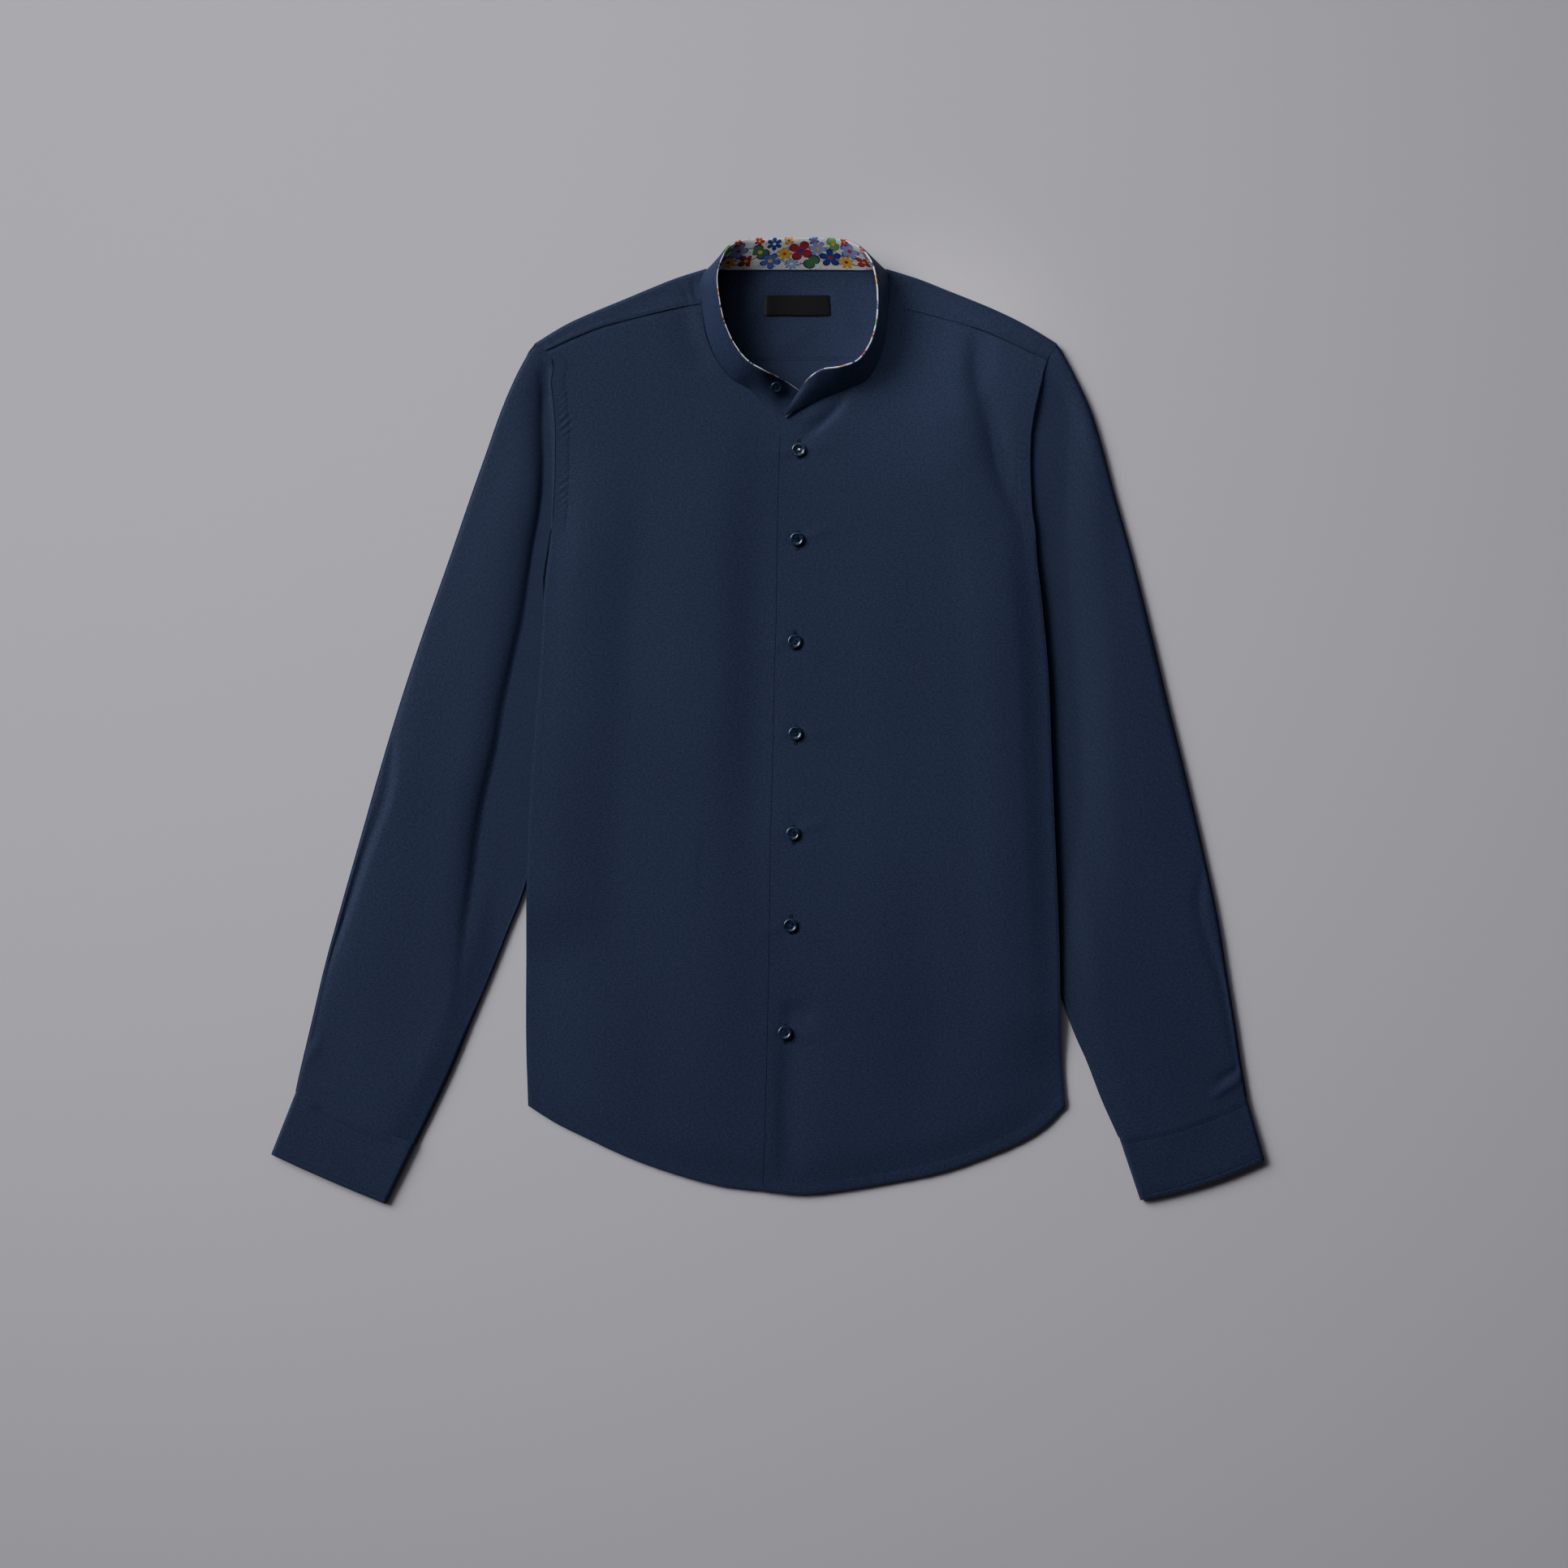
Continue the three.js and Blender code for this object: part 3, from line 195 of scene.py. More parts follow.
SLEEVE_FOLDS = [
    (((-240, 250), (-247, 150), (-266, 20), (-290, -120)), 13, 34, 0.2),
    (((-328, 20), (-332, -50), (-350, -100), (-366, -147), (-384, -199), (-396, -260)), 2.4, 8, -2.3),
    (((-322, 0), (-346, -110), (-376, -240)), 44, 12, 1.2),
    (((-300, 60), (-318, -20), (-330, -80)), 14, 18, 0.7),
    (((-262, -250), (-296, -270), (-318, -250)), 20, 12, 0.5),
    (((224, 285), (232, 220), (244, 150)), 16, 12, 1.0),
    (((258, 140), (282, 20), (300, -110)), 34, 28, 1.0),
    (((336, -96), (326, -143), (333, -169), (345, -206), (355, -252), (361, -285)), 4.5, 4, -0.9),
    (((340, -100), (332, -145), (339, -171), (351, -208), (360, -254)), 6, 5, 0.25),
    (((334, -300), (348, -291), (362, -282), (372, -276)), 3.5, 3, 0.9),
    (((338, -288), (350, -280), (366, -270)), 3.5, 3, -0.9),
    (((-386, -250), (-396, -262), (-402, -270)), 6, 5, 0.7),
]
# The long rolls beside the body: their foot, their width, and the side of the foot on which they lie
SLEEVE_ROLLS = {
    "right": (((-210, 300), (-207, 264), (-206, 238), (-206, 211), (-208, 185), (-213, 158), (-217, 132),
               (-223, 92), (-232, 53), (-241, 13), (-247, -26), (-258, -66), (-263, -106), (-269, -145),
               (-275, -198), (-280, -260)), 28, -1),
    "left": (((222, 296), (216, 264), (212, 238), (210, 211), (208, 185), (207, 158), (209, 132), (213, 92),
              (216, 53), (217, 13), (218, -26), (220, -66), (222, -106), (224, -145), (225, -225)), 42, 1),
}

BUTTON_PLACES = [
    (1.3, 227.7), (0.0, 155.1), (-2.0, 71.9), (-1.3, -2.6), (-3.3, -83.8), (-5.3, -158.4), (-9.9, -245.5),
]
BUTTON_RADIUS = 5.7
COLLAR_BUTTON = {"radius": 4.6, "row": 1.9, "height": 0.74}
LABEL = {"x": 0.6, "y": 345.2, "width": 54, "depth": 17}


# Curves and tables


def smoothstep(value, start, end):
    share = np.clip((value - start) / (end - start), 0, 1)
    return share * share * (3 - 2 * share)


def lerp(a, b, share):
    return a + (b - a) * share


def soft(at, places, values):
    """Smooth curve through a table of values, held at its ends"""
    places, values = np.asarray(places, float), np.asarray(values, float)
    slope = np.gradient(values, places)
    at = np.clip(at, places[0], places[-1])
    i = np.clip(np.searchsorted(places, at, side="right") - 1, 0, len(places) - 2)
    step = places[i + 1] - places[i]
    f = (at - places[i]) / step
    return (
        (2 * f**3 - 3 * f**2 + 1) * values[i]
        + (f**3 - 2 * f**2 + f) * step * slope[i]
        + (3 * f**2 - 2 * f**3) * values[i + 1]
        + (f**3 - f**2) * step * slope[i + 1]
    )


def lengths(points):
    steps = np.linalg.norm(np.diff(np.asarray(points, float), axis=0), axis=1)
    return np.concatenate([[0], np.cumsum(steps)])


def along(points, rows):
    """Points on a smooth curve through a table's points, at fractional row numbers"""
    points = np.asarray(points, float)
    reach = lengths(points)
    at = np.interp(rows, np.arange(len(points)), reach)
    return np.stack([soft(at, reach, column) for column in points.T], axis=-1)


def offset_line(points, distance):
    """A line moved sideways; a distance above 0 moves it to the right of its direction"""
    points = np.asarray(points, float)
    before = points[np.maximum(np.arange(len(points)) - 1, 0)]
    after = points[np.minimum(np.arange(len(points)) + 1, len(points) - 1)]
    way = (after - before) / np.linalg.norm(after - before, axis=1, keepdims=True)
    return points + np.stack([way[:, 1], -way[:, 0]], axis=1) * distance


def beside_line(points, x, y):
    """Distance to a curve, above 0 at the left of its direction, and the share of its length passed"""
    curve = along(points, np.linspace(0, len(points) - 1, 18))
    start, way = curve[:-1], np.diff(curve, axis=0)
    size = np.linalg.norm(way, axis=1)
    px, py = x.ravel()[:, None], y.ravel()[:, None]
    share = ((px - start[:, 0]) * way[:, 0] + (py - start[:, 1]) * way[:, 1]) / size**2
    share = np.clip(share, 0, 1)
    dx = px - start[:, 0] - share * way[:, 0]
    dy = py - start[:, 1] - share * way[:, 1]
    best = np.argmin(dx**2 + dy**2, axis=1)
    row = np.arange(len(best))
    dx, dy = dx[row, best], dy[row, best]
    side = np.sign(way[best, 0] * dy - way[best, 1] * dx)
    ends = lengths(curve)
    place = (ends[best] + share[row, best] * size[best]) / ends[-1]
    return (side * np.hypot(dx, dy)).reshape(x.shape), place.reshape(x.shape)


def fold_height(folds, x, y):
    """Summed height of soft folds, each along a curve, uneven to its two sides and fading at its ends"""
    total = np.zeros_like(x)
    for points, left_width, right_width, height in folds:
        reach = 3 * max(left_width, right_width)
        low, high = np.min(points, axis=0) - reach, np.max(points, axis=0) + reach
        near = (x > low[0]) & (x < high[0]) & (y > low[1]) & (y < high[1])
        if not near.any():
            continue
        distance, place = beside_line(points, x[near], y[near])
        width = np.where(distance > 0, left_width, right_width)
        fade = smoothstep(place, -0.1, 0.3) * (1 - smoothstep(place, 0.7, 1.1))
        total[near] += height * fade * np.exp(-((distance / width) ** 2))
    return total


def roll_drop(roll, x, y):
    """Share by which cloth has dropped beside a rounded roll: 0 on its crest, 1 from its line on"""
    points, reach, crest_side = roll
    distance, place = beside_line(points, x, y)
    near = np.clip(1 - distance * crest_side / reach, 0, 1)
    facing_away = 1 - np.sqrt(np.maximum(1 - near**2.6, 0))
    drop = facing_away if crest_side < 0 else smoothstep(near, 0, 1)
    return drop * smoothstep(place, -0.02, 0.10) * (1 - smoothstep(place, 0.62, 1.0))


# Heights of the layers, as in the CAD model


def hem_height(x):
    xs, ys = zip(*HEM)
    return soft(x, xs, ys)


def body_edge(side, y):
    ys, xs = zip(*BODY_EDGE[side])
    return soft(y, ys, xs)


def distance_inside(x, y):
    return np.maximum(0, np.where(x > 0, body_edge("left", y) - x, x - body_edge("right", y)))


def back_underside(x, y):
    start = np.where(x > 0, TUCK["left"][0], TUCK["right"][0])
    end = np.where(x > 0, TUCK["left"][1], TUCK["right"][1])
    tucked = smoothstep(start - y, 0, LIFT_START) * (1 - smoothstep(end - y, 0, LIFT_END))
    return SLEEVE_LIFT * tucked * (1 - smoothstep(distance_inside(x, y), LIFT_FLAT, LIFT_RAMP))


def early_lift(x, y):
    """The fronts rise over the tucked sleeve sooner and more softly than the back under them"""
    start = np.where(x > 0, TUCK["left"][0], TUCK["right"][0])
    rise = smoothstep(start + 70 - y, 0, 70 + LIFT_START) - smoothstep(start - y, 0, LIFT_START)
    return SLEEVE_LIFT * rise * (1 - smoothstep(distance_inside(x, y), LIFT_FLAT, LIFT_RAMP))


def upper_underside(x, y):
    inside = distance_inside(x, y)
    seam_air = LAYER_GAP + (SHOULDER_AIR - LAYER_GAP) * smoothstep(y, 158, 298)
    middle_air = BODY_AIR + (SHOULDER_AIR - BODY_AIR) * smoothstep(y, 180, 298)
    body = lerp(seam_air, middle_air, smoothstep(inside, 0, 60))
    hem = smoothstep(y - hem_height(x), 0, HEM_SOFTENING)
    calm = smoothstep(inside, 2, 26) * hem
    air = lerp(LAYER_GAP, body, hem) + calm * fold_height(BODY_FOLDS, x, y)
    return back_underside(x, y) + early_lift(x, y) + CLOTH + np.maximum(air, LAYER_GAP)


def inner_edge(side, y):
    rows = FRONT_ROWS[side]
    return soft(y, [row[1] for row in rows], [row[0] for row in rows])


def overlap_lift(x, y):
    near, far = (inner_edge("right", y) + distance for distance in OVERLAP_RAMP)
    return OVERLAP_LIFT * (1 - smoothstep(x, near, far))


# Meshes


def surface_normals(grid, around=False):
    """Unit normals of a grid of points; rows cross columns"""
    padded = np.concatenate([grid[:, -1:], grid, grid[:, :1]], axis=1) if around else grid
    across = np.gradient(padded, axis=1)
    if around:
        across = across[:, 1:-1]
    upward = np.gradient(grid, axis=0)
    normal = np.cross(across, upward)
    return normal / np.maximum(np.linalg.norm(normal, axis=-1, keepdims=True), 1e-9)


def new_mesh(name, points, faces, material, uv=None):
    """A mesh object from points in millimetres, with its cloth coordinates in metres"""
    mesh = bpy.data.meshes.new(name)
    mesh.from_pydata((np.asarray(points) * MM).tolist(), [], [list(map(int, face)) for face in faces])
    if uv is not None:
        corners = np.empty(len(mesh.loops), dtype=np.int32)
        mesh.loops.foreach_get("vertex_index", corners)
        layer = mesh.uv_layers.new(name="cloth")
        layer.data.foreach_set("uv", (np.asarray(uv)[corners] * MM).astype(np.float32).ravel())
    mesh.polygons.foreach_set("use_smooth", [True] * len(mesh.polygons))
    mesh.materials.append(material)
    mesh.update()
    piece = bpy.data.objects.new(name, mesh)
    bpy.context.scene.collection.objects.link(piece)
    return piece


def cloth_shell(name, grid, uv, wall, material, around=False, keep=None, flip=False):
    """A closed thin shell under a grid of points; its normals point away from the wall"""
    rows, columns = grid.shape[:2]
    normal = surface_normals(grid, around) * (-1 if flip else 1)
    inner = grid - normal * np.broadcast_to(wall, grid.shape[:2])[..., None]
    number = np.arange(rows * columns).reshape(rows, columns)
    if around:
        number = np.concatenate([number, number[:, :1]], axis=1)
    quads = np.stack([number[:-1, :-1], number[:-1, 1:], number[1:, 1:], number[1:, :-1]], axis=-1)
    if keep is not None:
        quads = quads[keep]
    quads = quads.reshape(-1, 4)
    if flip:
        quads = quads[:, ::-1]
    count = rows * columns
    edges = np.concatenate([quads[:, [k, (k + 1) % 4]] for k in range(4)])
    code = edges[:, 0] * count + edges[:, 1]
    back = edges[:, 1] * count + edges[:, 0]
    rim = edges[~np.isin(code, back)]
    sides = np.stack([rim[:, 1], rim[:, 0], rim[:, 0] + count, rim[:, 1] + count], axis=1)
    faces = np.concatenate([quads, quads[:, ::-1] + count, sides])
    points = np.concatenate([grid.reshape(-1, 3), inner.reshape(-1, 3)])
    flat = np.concatenate([uv.reshape(-1, 2)] * 2)
    used, faces_flat = np.unique(faces, return_inverse=True)
    piece = new_mesh(name, points[used], faces_flat.reshape(-1, 4), material, flat[used])
    piece.data.set_sharp_from_angle(angle=math.radians(50))
    return piece


def cross_places(width, near, far, middle):
    """Distances across each row: fixed ones near both edges and even ones between them"""
    near, far = np.asarray(near, float), np.asarray(far, float)[::-1]
    between = np.linspace(0, 1, middle + 2)[1:-1]
    inner = near[-1] + (width[:, None] - near[-1] - far[0]) * between
    fixed = np.broadcast_to(near, (len(width), len(near)))
    return np.concatenate([fixed, inner, width[:, None] - far], axis=1)


def pick(grid, rows, columns):
    """Points of a grid at fractional rows and columns"""
    rows, columns = np.broadcast_arrays(np.asarray(rows, float), np.asarray(columns, float))
    r = np.clip(rows.astype(int), 0, grid.shape[0] - 2)
    c = np.clip(columns.astype(int), 0, grid.shape[1] - 2)
    fr, fc = (rows - r)[..., None], (columns - c)[..., None]
    low = grid[r, c] * (1 - fc) + grid[r, c + 1] * fc
    high = grid[r + 1, c] * (1 - fc) + grid[r + 1, c + 1] * fc
    return low * (1 - fr) + high * fr


# Materials


def shader(name, base, roughness, **sockets):
    """A new material and its Principled shader; every constant stands on the shader's own socket"""
    material = bpy.data.materials.new(name)
    material.use_nodes = True
    node = material.node_tree.nodes["Principled BSDF"]
    node.inputs["Base Color"].default_value = (*base, 1)
    node.inputs["Roughness"].default_value = roughness
    for socket, value in sockets.items():
        node.inputs[socket.replace("_", " ")].default_value = value
    return material, node


class Nodes:
    """Short ways to add and link a tree's nodes"""

    def __init__(self, tree):
        self.tree = tree

    def add(self, kind, **settings):
        node = self.tree.nodes.new(kind)
        for key, value in settings.items():
            setattr(node, key, value)
        return node

    def link(self, value, socket):
        if isinstance(value, bpy.types.NodeSocket):
            self.tree.links.new(value, socket)
        elif value is not None:
            socket.default_value = value

    def math(self, operation, *values):
        node = self.add("ShaderNodeMath", operation=operation)
        for value, socket in zip(values, node.inputs):
            self.link(value, socket)
        return node.outputs[0]

    def vector(self, operation, *values, scale=None):
        node = self.add("ShaderNodeVectorMath", operation=operation)
        for value, socket in zip(values, node.inputs):
            self.link(value, socket)
        if scale is not None:
            self.link(scale, node.inputs["Scale"])
        return node.outputs["Value" if operation in {"LENGTH", "DOT_PRODUCT"} else "Vector"]

    def noise(self, vector, scale, detail=2.0, roughness=0.5):
        node = self.add("ShaderNodeTexNoise")
        self.link(vector, node.inputs["Vector"])
        self.link(scale, node.inputs["Scale"])
        self.link(detail, node.inputs["Detail"])
        self.link(roughness, node.inputs["Roughness"])
        return node.outputs["Fac"]

    def ramp(self, value, low, high, to_low=0.0, to_high=1.0):
        node = self.add("ShaderNodeMapRange")
        for socket, number in zip(node.inputs, (value, low, high, to_low, to_high)):
            self.link(number, socket)
        return node.outputs[0]

    def mix(self, share, a, b):
        node = self.add("ShaderNodeMix", data_type="RGBA")
        self.link(share, node.inputs["Factor"])
        for value, socket in ((a, node.inputs[6]), (b, node.inputs[7])):
            self.link((*value, 1) if isinstance(value, tuple) and len(value) == 3 else value, socket)
        return node.outputs[2]

    def bump(self, height, distance, strength, below=None):
        node = self.add("ShaderNodeBump")
        self.link(strength, node.inputs["Strength"])
        self.link(distance, node.inputs["Distance"])
        self.link(height, node.inputs["Height"])
        if below is not None:
            self.link(below, node.inputs["Normal"])
        return node.outputs["Normal"]

    def cloth_uv(self):
        return self.add("ShaderNodeUVMap", uv_map="cloth").outputs["UV"]


def weave(nodes, uv, thread):
    """Height of a plain weave: threads over and under each other, `thread` metres apart"""
    split = nodes.add("ShaderNodeSeparateXYZ")
    nodes.link(uv, split.inputs[0])
    turns = math.pi / thread
    warp, weft = (nodes.math("SINE", nodes.math("MULTIPLY", split.outputs[axis], turns)) for axis in "XY")
    return nodes.math("ABSOLUTE", nodes.math("MULTIPLY", warp, weft))


def slubs(nodes, uv):
    """Thicker and thinner threads, long along both directions of the cloth"""
    total = None
    for stretch in ((1, 7, 1), (6.5, 1, 1)):
        value = nodes.noise(nodes.vector("MULTIPLY", uv, stretch), 230.0, detail=2.0, roughness=0.6)
        total = value if total is None else nodes.math("ADD", total, value)
    return total


def navy_cotton():
    """Navy poplin: fine plain weave, slubby threads, a faint sheen"""
    if "navy_cotton" in bpy.data.materials:
        return bpy.data.materials["navy_cotton"]
    look = bpy.context.scene.shirt_look
    material, principled = shader(
        "navy_cotton", look.cloth_color, 0.68,
        Specular_IOR_Level=0.14, Sheen_Weight=look.cloth_sheen, Sheen_Roughness=0.45,
        Sheen_Tint=(0.45, 0.60, 1.0, 1),
    )
    nodes = Nodes(material.node_tree)
    uv = nodes.cloth_uv()
    threads = slubs(nodes, uv)
    grain = nodes.noise(nodes.vector("MULTIPLY", uv, (0.8, 1.25, 1)), 640.0, detail=3.5, roughness=0.75)
    broad = nodes.noise(uv, 7.0, detail=2.0)
    tone = nodes.math("ADD", nodes.ramp(threads, 0.75, 1.25, 0.86, 1.12),
                      nodes.ramp(broad, 0.3, 0.7, -0.035, 0.035))
    tone = nodes.math("ADD", tone, nodes.ramp(grain, 0.34, 0.66, -0.34, 0.36))
    color = nodes.vector("SCALE", (*look.cloth_color,), scale=tone)
    nodes.link(color, principled.inputs["Base Color"])
    nodes.link(nodes.ramp(threads, 0.75, 1.25, 0.74, 0.62), principled.inputs["Roughness"])
    fine = nodes.bump(weave(nodes, uv, 0.00042), 0.00010, 0.4)
    coarse = nodes.bump(nodes.math("ADD", threads, grain), 0.00016, 0.45, below=fine)
    nodes.link(coarse, principled.inputs["Normal"])
    return material


def sewing_thread():
    if "sewing_thread" in bpy.data.materials:
        return bpy.data.materials["sewing_thread"]
    look = bpy.context.scene.shirt_look
    material, principled = shader("sewing_thread", look.thread_color, 0.7, Sheen_Weight=0.08,
                                  Specular_IOR_Level=0.2)
    nodes = Nodes(material.node_tree)
    place = nodes.add("ShaderNodeTexCoord").outputs["Object"]
    twist = nodes.noise(place, 2600.0, detail=1.0)
    nodes.link(nodes.vector("SCALE", (*look.thread_color,), scale=nodes.ramp(twist, 0.3, 0.7, 0.75, 1.3)),
               principled.inputs["Base Color"])
    nodes.link(nodes.bump(twist, 0.0001, 0.4), principled.inputs["Normal"])
    return material


# Motifs of the lining, in millimetres on a tile: x, y, size, petals, turn, petal colour, rim, heart
PRINT_TILE = 93.0
COBALT, ULTRA, RED, YELLOW = (0.012, 0.05, 0.36), (0.10, 0.16, 0.55), (0.52, 0.02, 0.03), (0.80, 0.50, 0.03)
INK = (0.006, 0.014, 0.05)
LILAC, GREEN, SKY, WINE = (0.34, 0.38, 0.72), (0.07, 0.24, 0.10), (0.35, 0.55, 0.80), (0.16, 0.01, 0.05)
MOTIFS = [
    (4, 29, 4.6, 5, 0.1, RED, WINE, YELLOW),
    (6, 18, 8.6, 2, 0.7, GREEN, INK, YELLOW),
    (15, 9, 8.6, 5, 0.2, ULTRA, COBALT, YELLOW),
    (17, 26, 6.6, 6, 0.5, COBALT, INK, (0.9, 0.9, 0.9)),
    (26, 16, 6.4, 7, 0.0, YELLOW, (0.6, 0.28, 0.01), RED),
    (29, 29, 4.4, 4, 0.6, YELLOW, RED, COBALT),
    (32, 6, 5.6, 9, 0.3, SKY, COBALT, (0.9, 0.9, 0.9)),
    (39, 19, 10.4, 4, 0.5, RED, WINE, COBALT),
    (48, 8, 7.6, 2, 2.3, GREEN, INK, GREEN),
    (50, 29, 4.6, 6, 0.3, ULTRA, INK, RED),
    (53, 21, 7.8, 6, 0.1, LILAC, ULTRA, YELLOW),
    (63, 12, 9.2, 5, 0.9, COBALT, INK, RED),
    (66, 26, 6.8, 2, 1.1, (0.20, 0.40, 0.12), GREEN, YELLOW),
    (75, 8, 6.6, 8, 0.4, YELLOW, (0.55, 0.20, 0.01), WINE),
    (77, 29, 4.2, 5, 0.0, RED, WINE, YELLOW),
    (80, 20, 9.0, 5, 0.0, LILAC, COBALT, RED),
    (89, 9, 7.0, 4, 0.8, RED, WINE, YELLOW),
]


def motif_group():
    """One flower or pair of leaves: a lobed disc with a rim, veins and a heart, over a colour"""
    tree = bpy.data.node_groups.new("printed_motif", "ShaderNodeTree")
    for name, kind in (
        ("Place", "NodeSocketVector"), ("Centre", "NodeSocketVector"), ("Size", "NodeSocketFloat"),
        ("Petals", "NodeSocketFloat"), ("Turn", "NodeSocketFloat"), ("Petal", "NodeSocketColor"),
        ("Rim", "NodeSocketColor"), ("Heart", "NodeSocketColor"), ("Below", "NodeSocketColor"),
    ):
        tree.interface.new_socket(name, in_out="INPUT", socket_type=kind)
    tree.interface.new_socket("Color", in_out="OUTPUT", socket_type="NodeSocketColor")
    nodes = Nodes(tree)
    given = nodes.add("NodeGroupInput").outputs
    away = nodes.vector("SUBTRACT", given["Place"], given["Centre"])
    distance = nodes.math("DIVIDE", nodes.vector("LENGTH", away), given["Size"])
    split = nodes.add("ShaderNodeSeparateXYZ")
    nodes.link(away, split.inputs[0])
    angle = nodes.math("ADD", nodes.math("ARCTAN2", split.outputs["Y"], split.outputs["X"]), given["Turn"])
    lobes = nodes.math("ABSOLUTE", nodes.math("COSINE", nodes.math(
        "MULTIPLY", nodes.math("MULTIPLY", angle, given["Petals"]), 0.5)))
    reach = nodes.math("ADD", 0.34, nodes.math("MULTIPLY", nodes.math("POWER", lobes, 0.6), 0.66))
    share = nodes.math("DIVIDE", distance, reach)
    veins = nodes.math("SINE", nodes.math("MULTIPLY", angle, 26.0))
    petal = nodes.mix(nodes.ramp(veins, 0.2, 0.9, 0.0, 0.55), given["Petal"], given["Rim"])
    rimmed = nodes.mix(nodes.ramp(share, 0.80, 0.88), petal, given["Rim"])
    hearted = nodes.mix(nodes.ramp(distance, 0.24, 0.19), rimmed, given["Heart"])
    color = nodes.mix(nodes.ramp(share, 1.02, 0.96), given["Below"], hearted)
    nodes.link(color, nodes.add("NodeGroupOutput").inputs["Color"])
    return tree


def printed_cotton():
    """White poplin with a small print of made-up flowers, leaves and stems, repeated along the band"""
    material, principled = shader("printed_cotton", (0.78, 0.78, 0.80), 0.6,
                                  Specular_IOR_Level=0.3, Sheen_Weight=0.15)
    nodes = Nodes(material.node_tree)
    uv = nodes.cloth_uv()
    split = nodes.add("ShaderNodeSeparateXYZ")
    nodes.link(nodes.vector("SCALE", uv, scale=1000.0), split.inputs[0])
    tile = nodes.math("WRAP", split.outputs["X"], PRINT_TILE, 0.0)
    place = nodes.add("ShaderNodeCombineXYZ")
    nodes.link(tile, place.inputs["X"])
    nodes.link(split.outputs["Y"], place.inputs["Y"])
    place = place.outputs[0]
    color = (0.80, 0.80, 0.82)
    for scale, shade, size in ((0.30, LILAC, 0.24), (0.42, SKY, 0.22), (0.36, RED, 0.10)):
        dots = nodes.add("ShaderNodeTexVoronoi")
        nodes.link(place, dots.inputs["Vector"])
        nodes.link(scale, dots.inputs["Scale"])
        color = nodes.mix(nodes.ramp(dots.outputs["Distance"], size, size - 0.05), color, shade)
    for lift, swing, speed, turn in ((10, 5, 0.135, 0.0), (18, 4, 0.2027, 2.0)):
        wave = nodes.math("SINE", nodes.math("ADD", nodes.math("MULTIPLY", tile, speed), turn))
        height = nodes.math("ADD", nodes.math("MULTIPLY", wave, swing), lift)
        gap = nodes.math("ABSOLUTE", nodes.math("SUBTRACT", split.outputs["Y"], height))
        color = nodes.mix(nodes.ramp(gap, 0.55, 0.35), color, (0.03, 0.10, 0.12))
    tree = motif_group()
    for x, y, size, petals, turn, petal, rim, heart in MOTIFS:
        group = nodes.add("ShaderNodeGroup", node_tree=tree)
        values = (place, (x, y, 0), size, petals, turn, (*petal, 1), (*rim, 1), (*heart, 1))
        for value, socket in zip(values, group.inputs):
            nodes.link(value, socket)
        nodes.link((*color, 1) if isinstance(color, tuple) else color, group.inputs["Below"])
        color = group.outputs[0]
    nodes.link(color, principled.inputs["Base Color"])
    nodes.link(nodes.bump(weave(nodes, uv, 0.00042), 0.00012, 0.5), principled.inputs["Normal"])
    return material


def label_satin():
    """Black woven satin with fine ribs across"""
    material, principled = shader("label_satin", (0.003, 0.003, 0.004), 0.5,
                                  Specular_IOR_Level=0.2, Sheen_Weight=0.03)
    nodes = Nodes(material.node_tree)
    uv = nodes.cloth_uv()
    split = nodes.add("ShaderNodeSeparateXYZ")
    nodes.link(uv, split.inputs[0])
    ribs = nodes.math("SINE", nodes.math("MULTIPLY", split.outputs["Y"], 2 * math.pi / 0.0006))
    grain = nodes.noise(nodes.vector("MULTIPLY", uv, (1, 9, 1)), 420.0)
    nodes.link(nodes.ramp(grain, 0.3, 0.7, 0.36, 0.5), principled.inputs["Roughness"])
    nodes.link(nodes.bump(nodes.math("ADD", ribs, grain), 0.00008, 0.5), principled.inputs["Normal"])
    tone = nodes.vector("SCALE", (0.0035, 0.0035, 0.0045), scale=nodes.ramp(grain, 0.3, 0.7, 0.7, 1.5))
    nodes.link(tone, principled.inputs["Base Color"])
    return material


def button_resin():
    """Glossy dark navy resin with faint cloudy streaks"""
    if "button_resin" in bpy.data.materials:
        return bpy.data.materials["button_resin"]
    look = bpy.context.scene.shirt_look
    material, principled = shader("button_resin", look.button_color, 0.12,
                                  Coat_Weight=0.35, Coat_Roughness=0.08, IOR=1.5)
    nodes = Nodes(material.node_tree)
    place = nodes.add("ShaderNodeTexCoord").outputs["Object"]
    cloud = nodes.noise(nodes.vector("MULTIPLY", place, (1, 3, 1)), 160.0, detail=3.0)
    nodes.link(nodes.mix(nodes.ramp(cloud, 0.35, 0.7), (*look.button_color,), (0.02, 0.04, 0.09)),
               principled.inputs["Base Color"])
    nodes.link(nodes.ramp(cloud, 0.3, 0.7, 0.09, 0.2), principled.inputs["Roughness"])
    nodes.link(nodes.bump(nodes.noise(place, 900.0), 0.00004, 0.2), principled.inputs["Normal"])
    return material


# Sewing


